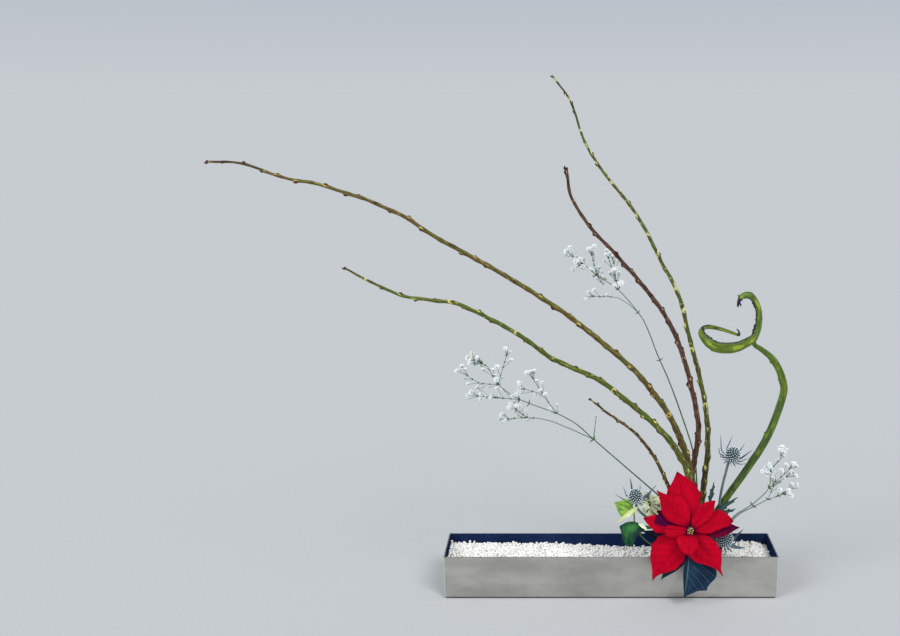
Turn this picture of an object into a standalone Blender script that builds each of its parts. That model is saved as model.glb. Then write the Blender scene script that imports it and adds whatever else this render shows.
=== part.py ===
"""Ikebana arrangement: willow, gypsophila, sea holly, ivy and a poinsettia on a pin holder.

The pin holder stands under white pebbles in a long, low steel tray. Metres, +Z up. The origin is
on the table, under the middle of the tray, and -Y is the front.
"""

import math

import bmesh
import bpy
from mathutils import Matrix, Vector, noise

# Driving dimensions, in metres.
TRAY_LENGTH = 0.600
TRAY_DEPTH = 0.100
TRAY_HEIGHT = 0.078
TRAY_WALL = 0.002
PAD_THICKNESS = 0.0027
PAD_INSET = 0.003
SEAT_GAP = 0.0003
HOLDER_X = 0.160
HOLDER_SIZE = 0.084
HOLDER_BASE = 0.010
HOLDER_PLATE = 0.001
HOLDER_EDGE = 0.0015
NEEDLE_PITCH = 0.008
NEEDLE_WIDTH = 0.0018
NEEDLE_HEIGHT = 0.013
STEM_CLEARANCE = 0.0006
FOOT_PLACES = 24  # places between two points of a stem that are kept clear of needles

# Heights that follow from them.
TRAY_UNDERSIDE = PAD_THICKNESS + SEAT_GAP
TRAY_FLOOR = TRAY_UNDERSIDE + TRAY_WALL
TRAY_RIM = TRAY_UNDERSIDE + TRAY_HEIGHT
PLATE_BOTTOM = TRAY_FLOOR + SEAT_GAP + HOLDER_BASE + SEAT_GAP
PLATE_TOP = PLATE_BOTTOM + HOLDER_PLATE
NEEDLE_TOP = PLATE_TOP + NEEDLE_HEIGHT
FOOT = PLATE_TOP + SEAT_GAP

# Pebble surface: height above the table at places along the tray.
PEBBLE_PROFILE = (
    (-0.300, 0.064),
    (-0.100, 0.062),
    (0.020, 0.056),
    (0.120, 0.056),
    (0.200, 0.064),
    (0.275, 0.067),
    (0.300, 0.056),
)
PEBBLE_ROUGHNESS = 0.0025
PEBBLE_CELL = 0.012

# Willow branches: route from the foot to the tip.
BRANCHES = {
    "willow_long": (
        (0.180, -0.004, FOOT), (0.169, -0.007, 0.082), (0.146, -0.010, 0.211), (0.130, -0.016, 0.272),
        (0.113, -0.022, 0.313), (0.090, -0.030, 0.356), (0.041, -0.045, 0.422), (-0.024, -0.062, 0.484),
        (-0.091, -0.080, 0.540), (-0.188, -0.105, 0.608), (-0.280, -0.125, 0.664), (-0.353, -0.140, 0.713),
        (-0.448, -0.155, 0.751), (-0.512, -0.160, 0.765), (-0.578, -0.165, 0.788), (-0.627, -0.168, 0.790),
    ),
    "willow_low": (
        (0.180, -0.022, FOOT), (0.169, -0.023, 0.083), (0.137, -0.033, 0.228), (0.122, -0.040, 0.264),
        (0.105, -0.048, 0.294), (0.083, -0.058, 0.323), (0.045, -0.075, 0.362), (-0.025, -0.105, 0.426),
        (-0.103, -0.140, 0.473), (-0.154, -0.165, 0.518), (-0.240, -0.200, 0.573), (-0.288, -0.218, 0.586),
        (-0.331, -0.232, 0.597), (-0.372, -0.245, 0.620), (-0.407, -0.252, 0.641),
    ),
    "willow_brown": (
        (0.142, 0.024, FOOT), (0.144, 0.022, 0.069), (0.149, 0.014, 0.203), (0.157, 0.008, 0.281),
        (0.155, 0.005, 0.319), (0.139, 0.000, 0.393), (0.116, -0.006, 0.464), (0.086, -0.012, 0.523),
        (0.046, -0.018, 0.575), (-0.003, -0.026, 0.631), (-0.043, -0.034, 0.675), (-0.072, -0.042, 0.723),
        (-0.081, -0.050, 0.771),
    ),
    "willow_tall": (
        (0.162, 0.030, FOOT), (0.164, 0.026, 0.062), (0.171, 0.025, 0.165), (0.177, 0.026, 0.233),
        (0.178, 0.028, 0.277), (0.174, 0.030, 0.322), (0.165, 0.032, 0.373), (0.141, 0.034, 0.460),
        (0.119, 0.036, 0.540), (0.086, 0.038, 0.603), (0.043, 0.040, 0.683), (-0.019, 0.042, 0.762),
        (-0.050, 0.042, 0.812), (-0.073, 0.040, 0.877), (-0.104, 0.036, 0.919),
    ),
    "willow_twig": (
        (0.158, -0.020, FOOT), (0.145, -0.018, 0.088), (0.101, -0.028, 0.209), (0.073, -0.036, 0.268),
        (0.038, -0.044, 0.315), (-0.006, -0.054, 0.350), (-0.040, -0.060, 0.380),
    ),
}
# Radius of each branch at its foot and at its tip.
BRANCH_RADII = {
    "willow_long": (0.0060, 0.0014),
    "willow_low": (0.0056, 0.0012),
    "willow_brown": (0.0050, 0.0020),
    "willow_tall": (0.0048, 0.0010),
    "willow_twig": (0.0030, 0.0012),
}

# The fasciated branch: a round stem, and a flattened crest that coils at its end.
CURL_STEM = (
    (0.135, 0.007, FOOT), (0.156, 0.008, 0.070), (0.207, 0.012, 0.159), (0.243, 0.014, 0.215),
    (0.282, 0.014, 0.283), (0.305, 0.010, 0.357), (0.305, 0.008, 0.390), (0.287, 0.006, 0.429),
    (0.258, 0.000, 0.455), (0.234, -0.018, 0.470),
)
CURL_STEM_RADII = (0.0062, 0.0062, 0.0064, 0.0066, 0.0068, 0.0067, 0.0066, 0.0060, 0.0044, 0.0036)
CREST = (
    (0.216, -0.008, 0.530), (0.222, -0.005, 0.547), (0.240, 0.000, 0.548), (0.254, 0.002, 0.524),
    (0.254, -0.004, 0.495), (0.243, -0.014, 0.474), (0.223, -0.024, 0.466), (0.202, -0.032, 0.463),
    (0.176, -0.034, 0.466), (0.160, -0.022, 0.476), (0.154, -0.004, 0.487), (0.167, 0.012, 0.490),
    (0.190, 0.024, 0.484), (0.211, 0.026, 0.477), (0.225, 0.018, 0.474), (0.222, 0.008, 0.484),
)
CREST_HALF_WIDTHS = (
    0.0015, 0.0040, 0.0062, 0.0070, 0.0078, 0.0084, 0.0090, 0.0094,
    0.0092, 0.0080, 0.0065, 0.0048, 0.0036, 0.0030, 0.0022, 0.0010,
)
CREST_FLATNESS = 0.42

# Gypsophila sprays: the stem's route, then twigs that each start on an earlier route. Every route
# but a bare one ends in a blossom.
SPRAYS = {
    "gypsophila_left": {
        "stem": (
            (0.150, -0.006, FOOT), (0.141, -0.007, 0.083), (0.083, -0.014, 0.187), (0.041, -0.020, 0.225),
            (0.015, -0.026, 0.255), (-0.032, -0.036, 0.298), (-0.062, -0.042, 0.328),
            (-0.097, -0.048, 0.350), (-0.160, -0.056, 0.378), (-0.197, -0.060, 0.406),
            (-0.216, -0.050, 0.435), (-0.244, -0.044, 0.447),
        ),
        "twigs": (
            ((-0.097, -0.048, 0.350), (-0.121, -0.052, 0.386), (-0.143, -0.044, 0.421)),
            ((-0.121, -0.052, 0.386), (-0.161, -0.062, 0.401)),
            ((-0.197, -0.060, 0.406), (-0.180, -0.048, 0.463)),
            ((-0.197, -0.060, 0.406), (-0.228, -0.084, 0.416), (-0.255, -0.072, 0.431)),
            ((-0.160, -0.056, 0.378), (-0.224, -0.046, 0.380)),
            ((-0.160, -0.056, 0.378), (-0.200, -0.078, 0.388), (-0.239, -0.088, 0.395)),
            (
                (-0.032, -0.036, 0.298), (-0.104, -0.044, 0.334), (-0.149, -0.052, 0.344),
                (-0.190, -0.060, 0.343),
            ),
            ((-0.149, -0.052, 0.344), (-0.172, -0.070, 0.370)),
        ),
        "bare": (((-0.032, -0.036, 0.298), (-0.028, -0.030, 0.339)),),
    },
    "gypsophila_middle": {
        "stem": (
            (0.176, 0.033, FOOT), (0.176, 0.036, 0.066), (0.164, 0.037, 0.160), (0.155, 0.037, 0.241),
            (0.127, 0.040, 0.327), (0.104, 0.043, 0.387), (0.085, 0.046, 0.429), (0.067, 0.048, 0.475),
            (0.050, 0.050, 0.506), (0.012, 0.052, 0.549), (-0.027, 0.056, 0.575), (-0.052, 0.062, 0.595),
            (-0.076, 0.066, 0.612),
        ),
        "twigs": (
            ((0.012, 0.052, 0.549), (0.008, 0.046, 0.565), (-0.009, 0.036, 0.617)),
            ((0.008, 0.046, 0.565), (0.003, 0.060, 0.604)),
            ((-0.027, 0.056, 0.575), (-0.037, 0.050, 0.620)),
            ((-0.052, 0.062, 0.595), (-0.061, 0.044, 0.591)),
            ((-0.027, 0.056, 0.575), (-0.018, 0.072, 0.566)),
            ((0.050, 0.050, 0.506), (0.013, 0.046, 0.535), (-0.040, 0.060, 0.535)),
        ),
        "bare": (),
    },
    "gypsophila_right_high": {
        "stem": (
            (0.194, 0.006, FOOT), (0.198, 0.000, 0.070), (0.219, -0.010, 0.136), (0.254, -0.016, 0.167),
            (0.282, -0.022, 0.201), (0.284, -0.024, 0.236), (0.300, -0.020, 0.255), (0.303, -0.016, 0.271),
        ),
        "twigs": (
            ((0.282, -0.022, 0.201), (0.313, -0.030, 0.238), (0.324, -0.034, 0.254)),
            ((0.282, -0.022, 0.201), (0.322, -0.014, 0.225)),
            ((0.284, -0.024, 0.236), (0.276, -0.036, 0.240)),
        ),
        "bare": (),
    },
    "gypsophila_right_low": {
        "stem": (
            (0.190, 0.014, FOOT), (0.196, 0.008, 0.070), (0.226, -0.003, 0.135), (0.260, -0.008, 0.160),
            (0.283, -0.014, 0.176), (0.300, -0.018, 0.185), (0.328, -0.012, 0.200),
        ),
        "twigs": (
            ((0.300, -0.018, 0.185), (0.315, -0.032, 0.196)),
            ((0.283, -0.014, 0.176), (0.298, -0.002, 0.205)),
        ),
        "bare": (),
    },
}
SPRAY_STEM_RADII = (0.0013, 0.0007)
TWIG_RADIUS = 0.0006
BLOSSOM_RADIUS = 0.0038

# Sea holly: stem route, direction that the head faces, cone radius and bract length.
SEA_HOLLIES = {
    "sea_holly_high": {
        "stem": (
            (0.195, -0.008, FOOT), (0.193, -0.008, 0.080), (0.199, -0.006, 0.179), (0.213, -0.002, 0.248),
        ),
        "facing": (0.30, -0.45, 0.84),
        "cone": 0.0090,
        "bract": 0.030,
    },
    "sea_holly_left": {
        "stem": (
            (0.142, -0.022, FOOT), (0.132, -0.026, 0.080), (0.075, -0.034, 0.140), (0.048, -0.040, 0.168),
            (0.043, -0.042, 0.186),
        ),
        "facing": (-0.10, -0.50, 0.86),
        "cone": 0.0080,
        "bract": 0.026,
    },
    "sea_holly_low": {
        "stem": ((0.190, -0.022, FOOT), (0.197, -0.025, 0.060), (0.202, -0.025, 0.095)),
        "facing": (0.15, -0.55, 0.82),
        "cone": 0.0108,
        "bract": 0.028,
    },
}
SEA_HOLLY_STEM_RADIUS = 0.0018
CONE_HEIGHT_RATIO = 1.35
COLLAR_BRACTS = 11
COLLAR_HUB = 0.0045
COLLAR_RISE = math.radians(32)
COLLAR_THICKNESS = 0.0010

# Poinsettia: the middle of the flower and the way that it faces.
FLOWER_CENTRE = Vector((0.137, -0.076, 0.144))
FLOWER_FACING = Vector((-0.05, -0.95, 0.30)).normalized()
HUB_RADIUS = 0.0050
HUB_LENGTH = 0.024
FIRST_LEVEL = 0.0012
LEVEL_PITCH = 0.0018
# Bracts from the front level to the back: angle, length, half-width and forward curl per metre.
BRACTS = (
    ("bract_left_inner", 177, 0.048, 0.011, 3.0),
    ("bract_bottom_inner", 263, 0.042, 0.018, 5.0),
    ("bract_right_upper", 51, 0.069, 0.020, 1.0),
    ("bract_left_upper", 131, 0.092, 0.026, 0.5),
    ("bract_right", 13, 0.078, 0.020, 0.3),
    ("bract_top", 103, 0.105, 0.031, 0.0),
    ("bract_left", 167, 0.085, 0.020, -0.2),
    ("bract_right_lower", 306, 0.101, 0.025, -0.4),
    ("bract_left_lower", 235, 0.113, 0.028, -0.6),
    ("bract_right_back", 3, 0.089, 0.016, -0.8),
    ("bract_left_back", 152, 0.067, 0.017, -1.0),
)
POINSETTIA_STEM = (
    (0.156, -0.033, FOOT), (0.153, -0.033, 0.050), (0.147, -0.036, 0.090), (0.141, -0.044, 0.122),
)
POINSETTIA_STEM_RADIUS = 0.0028
CYATHIUM_RADIUS = 0.0022
CYATHIUM_STRETCH = 1.3
CYATHIUM_RING = 0.0040
CYATHIA_AROUND = 6
CYATHIA_FOOT_RADIUS = 0.0040
CYATHIA_FOOT_HEIGHT = 0.0030

IVY_STEM = (
    (0.132, -0.012, FOOT), (0.120, -0.026, 0.070), (0.090, -0.046, 0.092), (0.058, -0.054, 0.118),
    (0.042, -0.053, 0.142), (0.040, -0.050, 0.163),
)
SPRIG_STEM = (
    (0.126, -0.003, FOOT), (0.112, -0.008, 0.075), (0.088, -0.016, 0.130), (0.073, -0.020, 0.162),
    (0.068, -0.021, 0.178),
)
THIN_STEM_RADIUS = 0.0014

# Leaf outlines: share of the length, then the left and right half-widths as shares of the widest.
OVAL = (
    (0.00, 0.06, 0.06), (0.14, 0.24, 0.24), (0.32, 0.84, 0.84), (0.48, 1.00, 1.00),
    (0.66, 0.80, 0.80), (0.84, 0.38, 0.38), (1.00, 0.04, 0.04),
)
LOBED = (
    (0.00, 0.08, 0.08), (0.12, 0.50, 0.44), (0.28, 1.00, 0.88), (0.42, 0.60, 0.56),
    (0.58, 0.66, 0.62), (0.80, 0.30, 0.28), (1.00, 0.04, 0.04),
)
NARROW = ((0.00, 0.12, 0.12), (0.35, 1.00, 1.00), (0.70, 0.75, 0.75), (1.00, 0.10, 0.10))
HALF_TURNED = (
    (0.00, 0.02, 0.02), (0.20, 0.45, 0.06), (0.42, 0.92, 0.12), (0.60, 1.00, 0.14),
    (0.78, 0.74, 0.10), (0.86, 0.62, 0.07), (0.91, 0.30, 0.05), (1.00, 0.01, 0.01),
)
LEAF_THICKNESS = 0.0009  # of the bracts as well
LEAF_PLACES = 24  # places between two points of a stem where a leaf can start
LEAF_GAP = 0.0008  # from the side of the stem to the leaf's first point

# Leaves: the stem that carries each, the share of the stem's route where it starts, its tip, the way
# it faces, half-width, outline, how far the middle bows forward, and its finish.
TO_FRONT = (0.0, -1.0, 0.2)
UP_AND_FRONT = (0.0, -0.9, 0.4)
UP_AND_RIGHT = (0.2, -0.9, 0.35)
LEAVES = {
    "poinsettia_leaf_front": (
        "poinsettia_stem", 0.70, (0.128, -0.084, 0.021), TO_FRONT, 0.052, HALF_TURNED, 0.008,
        "poinsettia_green",
    ),
    "poinsettia_leaf_left": (
        "poinsettia_stem", 0.62, (0.088, -0.066, 0.045), TO_FRONT, 0.015, OVAL, 0.002, "poinsettia_green",
    ),
    "poinsettia_leaf_back": (
        "poinsettia_stem", 0.55, (0.053, -0.040, 0.128), TO_FRONT, 0.013, OVAL, 0.000, "poinsettia_green",
    ),
    "ivy_leaf_dark": (
        "ivy_stem", 0.88, (0.031, -0.076, 0.113), TO_FRONT, 0.020, LOBED, 0.005, "ivy_green",
    ),
    "ivy_leaf_cream": (
        "ivy_stem", 0.93, (0.012, -0.062, 0.158), UP_AND_FRONT, 0.004, NARROW, 0.002, "cream_leaf",
    ),
    "ivy_leaf_lime": (
        "ivy_stem", 0.99, (0.005, -0.061, 0.185), UP_AND_FRONT, 0.012, OVAL, 0.002, "ivy_lime",
    ),
    "sprig_leaf_top": (
        "sprig_stem", 0.96, (0.055, -0.027, 0.196), UP_AND_FRONT, 0.008, OVAL, 0.001, "cream_leaf",
    ),
    "sprig_leaf_right": (
        "sprig_stem", 0.94, (0.086, -0.028, 0.187), UP_AND_RIGHT, 0.008, OVAL, 0.001, "cream_leaf",
    ),
    "sprig_leaf_left": (
        "sprig_stem", 0.89, (0.053, -0.026, 0.170), UP_AND_FRONT, 0.008, OVAL, 0.001, "cream_leaf",
    ),
    "sprig_leaf_low": (
        "sprig_stem", 0.83, (0.092, -0.030, 0.160), UP_AND_RIGHT, 0.008, OVAL, 0.001, "cream_leaf",
    ),
    "sprig_leaf_inner": (
        "sprig_stem", 0.76, (0.060, -0.026, 0.147), UP_AND_FRONT, 0.008, OVAL, 0.001, "cream_leaf",
    ),
    "sea_holly_high_leaf_upper": (
        "sea_holly_high_stem", 0.62, (0.186, -0.008, 0.208), TO_FRONT, 0.0035, NARROW, 0.002,
        "sea_holly_blue",
    ),
    "sea_holly_high_leaf_right": (
        "sea_holly_high_stem", 0.60, (0.229, -0.016, 0.182), UP_AND_FRONT, 0.0035, NARROW, 0.002,
        "sea_holly_blue",
    ),
    "sea_holly_high_leaf_low": (
        "sea_holly_high_stem", 0.55, (0.226, -0.018, 0.160), UP_AND_FRONT, 0.0035, NARROW, 0.002,
        "sea_holly_blue",
    ),
}

# Colour, roughness and metallic value of each material.
FINISHES = {
    "brushed_steel": ((0.45, 0.44, 0.42), 0.35, 1.0),
    "black_rubber": ((0.02, 0.02, 0.02), 0.8, 0.0),
    "lead": ((0.12, 0.12, 0.13), 0.6, 1.0),
    "brass": ((0.60, 0.42, 0.15), 0.35, 1.0),
    "white_pebble": ((0.85, 0.85, 0.82), 0.7, 0.0),
    "olive_bark": ((0.22, 0.25, 0.05), 0.5, 0.0),
    "green_bark": ((0.20, 0.35, 0.04), 0.5, 0.0),
    "brown_bark": ((0.14, 0.05, 0.04), 0.5, 0.0),
    "gypsophila_green": ((0.12, 0.22, 0.08), 0.6, 0.0),
    "sea_holly_blue": ((0.16, 0.24, 0.28), 0.6, 0.0),
    "poinsettia_red": ((0.65, 0.01, 0.02), 0.5, 0.0),
    "poinsettia_green": ((0.02, 0.06, 0.06), 0.5, 0.0),
    "cyathium_yellow": ((0.60, 0.55, 0.10), 0.5, 0.0),
    "ivy_green": ((0.03, 0.14, 0.04), 0.4, 0.0),
    "ivy_lime": ((0.35, 0.55, 0.08), 0.4, 0.0),
    "cream_leaf": ((0.75, 0.78, 0.50), 0.5, 0.0),
}


def clear_scene():
    for existing in list(bpy.data.objects):
        bpy.data.objects.remove(existing, do_unlink=True)


def material(finish):
    """The named material, made on its first use."""
    made = bpy.data.materials.get(finish)
    if made:
        return made
    colour, roughness, metallic = FINISHES[finish]
    made = bpy.data.materials.new(finish)
    made.use_nodes = True
    shader = made.node_tree.nodes["Principled BSDF"]
    shader.inputs["Base Color"].default_value = (*colour, 1.0)
    shader.inputs["Roughness"].default_value = roughness
    shader.inputs["Metallic"].default_value = metallic
    return made


def add_object(name, mesh_data, finish, smooth=True):
    """An object from a bmesh, with its faces turned outwards."""
    bmesh.ops.recalc_face_normals(mesh_data, faces=mesh_data.faces)
    mesh = bpy.data.meshes.new(name)
    mesh_data.to_mesh(mesh)
    mesh_data.free()
    if smooth:
        mesh.shade_smooth()
        mesh.set_sharp_from_angle(angle=math.radians(40))
    mesh.materials.append(material(finish))
    made = bpy.data.objects.new(name, mesh)
    bpy.context.scene.collection.objects.link(made)
    return made


def add_box(name, low, high, finish):
    box = bmesh.new()
    middle = (Vector(low) + Vector(high)) / 2
    size = Vector(high) - Vector(low)
    bmesh.ops.create_cube(box, size=1.0, matrix=Matrix.Translation(middle) @ Matrix.Diagonal((*size, 1.0)))
    return add_object(name, box, finish, smooth=False)


def make_cutter(shape):
    shape.hide_render = True
    shape.display_type = "WIRE"
    return shape


def boolean(target, operation, operand, use_self=False):
    change = target.modifiers.new(f"{operation.lower()} {operand.name}", "BOOLEAN")
    change.operation = operation
    change.solver = "EXACT"
    change.use_self = use_self
    change.object = operand


def smooth_route(points, steps):
    """Points along a Catmull-Rom curve through the given ones."""
    points = [Vector(point) for point in points]
    if len(points) < 3:
        return points
    padded = [2 * points[0] - points[1], *points, 2 * points[-1] - points[-2]]
    route = []
    for before, start, end, after in zip(padded, padded[1:], padded[2:], padded[3:]):
        for step in range(steps):
            share = step / steps
            route.append(
                0.5 * (
                    2 * start
                    + (end - before) * share
                    + (2 * before - 5 * start + 4 * end - after) * share**2
                    + (3 * start - before - 3 * end + after) * share**3
                )
            )
    route.append(points[-1])
    return route


def spread(values, count):
    """The given values, resampled evenly to a count."""
    resampled = []
    for index in range(count):
        place = index / (count - 1) * (len(values) - 1)
        lower = min(int(place), len(values) - 2)
        resampled.append(values[lower] + (values[lower + 1] - values[lower]) * (place - lower))
    return resampled


def add_tube_rings(mesh_data, route, radii, sides, flatness=1.0):
    """A closed tube along a route, whose cross-section is carried along without twisting.

    A route that starts at the foot height starts with a level cut.
    """
    radii = spread(radii, len(route))
    tangent = (route[1] - route[0]).normalized()
    wide = tangent.cross(Vector((0.0, 1.0, 0.0)))
    if wide.length < 0.1:
        wide = tangent.cross(Vector((1.0, 0.0, 0.0)))
    rings = []
    for index, centre in enumerate(route):
        before = route[max(index - 1, 0)]
        after = route[min(index + 1, len(route) - 1)]
        tangent = (after - before).normalized()
        if index == 0 and abs(centre.z - FOOT) < SEAT_GAP / 2:
            tangent = Vector((0.0, 0.0, 1.0))
        wide = (wide - tangent * wide.dot(tangent)).normalized()
        thin = tangent.cross(wide)
        ring = []
        for side in range(sides):
            angle = 2 * math.pi * side / sides
            offset = wide * math.cos(angle) + thin * math.sin(angle) * flatness
            ring.append(mesh_data.verts.new(centre + offset * radii[index]))
        rings.append(ring)
    for ring, following in zip(rings, rings[1:]):
        for side in range(sides):
            around = (side + 1) % sides
            mesh_data.faces.new((ring[side], ring[around], following[around], following[side]))
    mesh_data.faces.new(rings[0][::-1])
    mesh_data.faces.new(rings[-1])


def add_tube(name, points, radii, finish, sides=8, steps=3, flatness=1.0):
    tube = bmesh.new()
    add_tube_rings(tube, smooth_route(points, steps), radii, sides, flatness)
    return add_object(name, tube, finish)


def add_blade(name, rows, finish):
    """A thin closed leaf from rows of (middle, left half-width, right half-width, side, facing)."""
    blade = bmesh.new()
    sections = []
    for middle, left, right, side, facing in rows:
        lift = facing * (LEAF_THICKNESS / 2)
        line = (middle - side * left, middle, middle + side * right)
        front = [blade.verts.new(point + lift) for point in line]
        back = [blade.verts.new(point - lift) for point in line]
        sections.append(front + back[::-1])
    for section, following in zip(sections, sections[1:]):
        for corner in range(6):
            around = (corner + 1) % 6
            blade.faces.new((section[corner], section[around], following[around], following[corner]))
    blade.faces.new(sections[0][::-1])
    blade.faces.new(sections[-1])
    return add_object(name, blade, finish)


def add_leaf(name, stem, radius, share, tip, facing, half_width, outline, bow, finish):
    """A leaf that starts just outside its stem and reaches a given tip."""
    route = smooth_route(stem, LEAF_PLACES)
    tip = Vector(tip)
    facing = Vector(facing).normalized()
    start = min(round(share * (len(route) - 1)), len(route) - 2)
    on_stem = route[start]
    stem_along = (route[start + 1] - on_stem).normalized()
    outwards = tip - on_stem
    outwards = (outwards - stem_along * outwards.dot(stem_along)).normalized()
    base = on_stem + outwards * (radius + LEAF_GAP)
    along = (tip - base).normalized()
    facing = (facing - along * facing.dot(along)).normalized()
    side = along.cross(facing)
    rows = []
    for place, left, right in outline:
        middle = base.lerp(tip, place) + facing * (4 * bow * place * (1 - place))
        rows.append((middle, left * half_width, right * half_width, side, facing))
    return add_blade(name, rows, finish)


def build_tray():
    outer = bmesh.new()
    size = (TRAY_LENGTH, TRAY_DEPTH, TRAY_HEIGHT, 1.0)
    centre = Matrix.Translation((0.0, 0.0, TRAY_UNDERSIDE + TRAY_HEIGHT / 2))
    bmesh.ops.create_cube(outer, size=1.0, matrix=centre @ Matrix.Diagonal(size))
    top = [face for face in outer.faces if face.normal.z > 0.9]
    bmesh.ops.delete(outer, geom=top, context="FACES_ONLY")
    tray = add_object("tray", outer, "brushed_steel", smooth=False)
    wall = tray.modifiers.new("wall", "SOLIDIFY")
    wall.thickness = TRAY_WALL
    wall.offset = -1.0
    wall.use_even_offset = True

    half_length = TRAY_LENGTH / 2 - PAD_INSET
    half_depth = TRAY_DEPTH / 2 - PAD_INSET
    low = (-half_length, -half_depth, 0.0)
    high = (half_length, half_depth, PAD_THICKNESS)
    add_box("base_pad", low, high, "black_rubber")


def build_pin_holder(feet):
    """The lead base, and the brass plate whose needles leave room for the stems between them."""
    half = HOLDER_SIZE / 2
    low = TRAY_FLOOR + SEAT_GAP
    high = low + HOLDER_BASE
    base = add_box("kenzan_base", (HOLDER_X - half, -half, low), (HOLDER_X + half, half, high), "lead")
    edge = base.modifiers.new("edge", "BEVEL")
    edge.width = HOLDER_EDGE
    edge.segments = 2

    cells = int(HOLDER_SIZE / NEEDLE_PITCH)
    half_field = cells * NEEDLE_PITCH / 2
    plate = bmesh.new()
    place = Matrix.Translation((HOLDER_X, 0.0, PLATE_TOP))
    bmesh.ops.create_grid(plate, x_segments=cells, y_segments=cells, size=half_field, matrix=place)
    tops = list(plate.faces)
    rim = [edge for edge in plate.edges if edge.is_boundary]
    skirt = bmesh.ops.extrude_edge_only(plate, edges=rim)["geom"]
    low_corners = [item for item in skirt if isinstance(item, bmesh.types.BMVert)]
    for corner in low_corners:
        corner.co.z = PLATE_BOTTOM
    low_rim = [edge for edge in plate.edges if edge.is_boundary]
    bmesh.ops.contextual_create(plate, geom=low_rim)

    free = []
    for top in tops:
        centre = top.calc_center_median()
        gaps = [(centre.xy - point.xy).length - radius for point, radius in feet]
        if min(gaps) > NEEDLE_WIDTH:
            free.append(top)
    bmesh.ops.inset_individual(plate, faces=free, thickness=(NEEDLE_PITCH - NEEDLE_WIDTH) / 2)
    points = bmesh.ops.poke(plate, faces=free)["verts"]
    for point in points:
        point.co.z = NEEDLE_TOP
    add_object("kenzan_needles", plate, "brass", smooth=False)


def pebble_height(x, y):
    """Height of the pebbles: the profile along the tray, with small humps."""
    for (start, low), (end, high) in zip(PEBBLE_PROFILE, PEBBLE_PROFILE[1:]):
        if x <= end:
            share = max((x - start) / (end - start), 0.0)
            level = low + (high - low) * share
            break
    hump = noise.noise(Vector((x, y, 0.0)) / (2 * PEBBLE_CELL))
    return level + PEBBLE_ROUGHNESS * hump


def build_pebbles(stems):
    """One bed that fills the tray around the pin holder and the stems."""
    half_length = TRAY_LENGTH / 2 - TRAY_WALL - SEAT_GAP
    half_depth = TRAY_DEPTH / 2 - TRAY_WALL - SEAT_GAP
    columns = round(2 * half_length / PEBBLE_CELL)
    rows = round(2 * half_depth / PEBBLE_CELL)
    bed = bmesh.new()
    scale = Matrix.Diagonal((half_length, half_depth, 1.0, 1.0))
    bmesh.ops.create_grid(bed, x_segments=columns, y_segments=rows, size=1.0, matrix=scale)
    for corner in bed.verts:
        corner.co.z = pebble_height(corner.co.x, corner.co.y)
    rim = [edge for edge in bed.edges if edge.is_boundary]
    skirt = bmesh.ops.extrude_edge_only(bed, edges=rim)["geom"]
    for item in skirt:
        if isinstance(item, bmesh.types.BMVert):
            item.co.z = TRAY_FLOOR + SEAT_GAP
    low_rim = [edge for edge in bed.edges if edge.is_boundary]
    bmesh.ops.contextual_create(bed, geom=low_rim)
    pebbles = add_object("pebble_bed", bed, "white_pebble")

    half = HOLDER_SIZE / 2 + SEAT_GAP
    low = (HOLDER_X - half, -half, 0.0)
    high = (HOLDER_X + half, half, NEEDLE_TOP + SEAT_GAP)
    boolean(pebbles, "DIFFERENCE", make_cutter(add_box("holder_room", low, high, "lead")))
    for name, (points, radii) in stems.items():
        wider = [radius + STEM_CLEARANCE for radius in radii]
        hole = add_tube(f"{name}_room", points, wider, "lead")
        boolean(pebbles, "DIFFERENCE", make_cutter(hole))


def build_willows():
    finishes = {"willow_long": "olive_bark", "willow_brown": "brown_bark"}
    for name, points in BRANCHES.items():
        add_tube(name, points, BRANCH_RADII[name], finishes.get(name, "green_bark"))


def build_curled_willow():
    stem = add_tube("willow_curled", CURL_STEM, CURL_STEM_RADII, "green_bark")
    crest = add_tube("crest", CREST, CREST_HALF_WIDTHS, "green_bark", steps=2, flatness=CREST_FLATNESS)
    boolean(stem, "UNION", make_cutter(crest))


def build_spray(name, spray):
    """A gypsophila stem joined to its twigs and blossoms."""
    stem = add_tube(name, spray["stem"], SPRAY_STEM_RADII, "gypsophila_green", sides=6)
    side_growth = bmesh.new()
    for twig in spray["twigs"] + spray["bare"]:
        add_tube_rings(side_growth, smooth_route(twig, 2), (TWIG_RADIUS, TWIG_RADIUS), 5)
    blossoms = [spray["stem"][-1]] + [twig[-1] for twig in spray["twigs"]]
    for blossom in blossoms:
        place = Matrix.Translation(blossom)
        bmesh.ops.create_icosphere(side_growth, subdivisions=1, radius=BLOSSOM_RADIUS, matrix=place)
    growth = add_object(f"{name}_growth", side_growth, "gypsophila_green")
    boolean(stem, "UNION", make_cutter(growth), use_self=True)


def facing_frame(centre, facing):
    """A matrix that puts local Z along a direction, at a centre."""
    turn = Vector(facing).to_track_quat("Z", "Y").to_matrix().to_4x4()
    return Matrix.Translation(centre) @ turn


def collar_layer(collar, bract_length, height):
    """One face of a collar: its middle, the ring round its hub and a point at each bract's tip."""
    corners = 2 * COLLAR_BRACTS
    step = 2 * math.pi / corners
    middle = collar.verts.new((0.0, 0.0, height))
    ring = []
    for corner in range(corners):
        point = (COLLAR_HUB * math.cos(corner * step), COLLAR_HUB * math.sin(corner * step), height)
        ring.append(collar.verts.new(point))
    tip_height = height + (bract_length - COLLAR_HUB) * math.tan(COLLAR_RISE)
    for corner in range(corners):
        collar.faces.new((middle, ring[corner], ring[(corner + 1) % corners]))
    for bract in range(COLLAR_BRACTS):
        angle = (2 * bract + 1) * step
        tip = collar.verts.new((bract_length * math.cos(angle), bract_length * math.sin(angle), tip_height))
        collar.faces.new((ring[2 * bract], tip, ring[2 * bract + 1]))
        collar.faces.new((ring[2 * bract + 1], tip, ring[(2 * bract + 2) % corners]))


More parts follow.
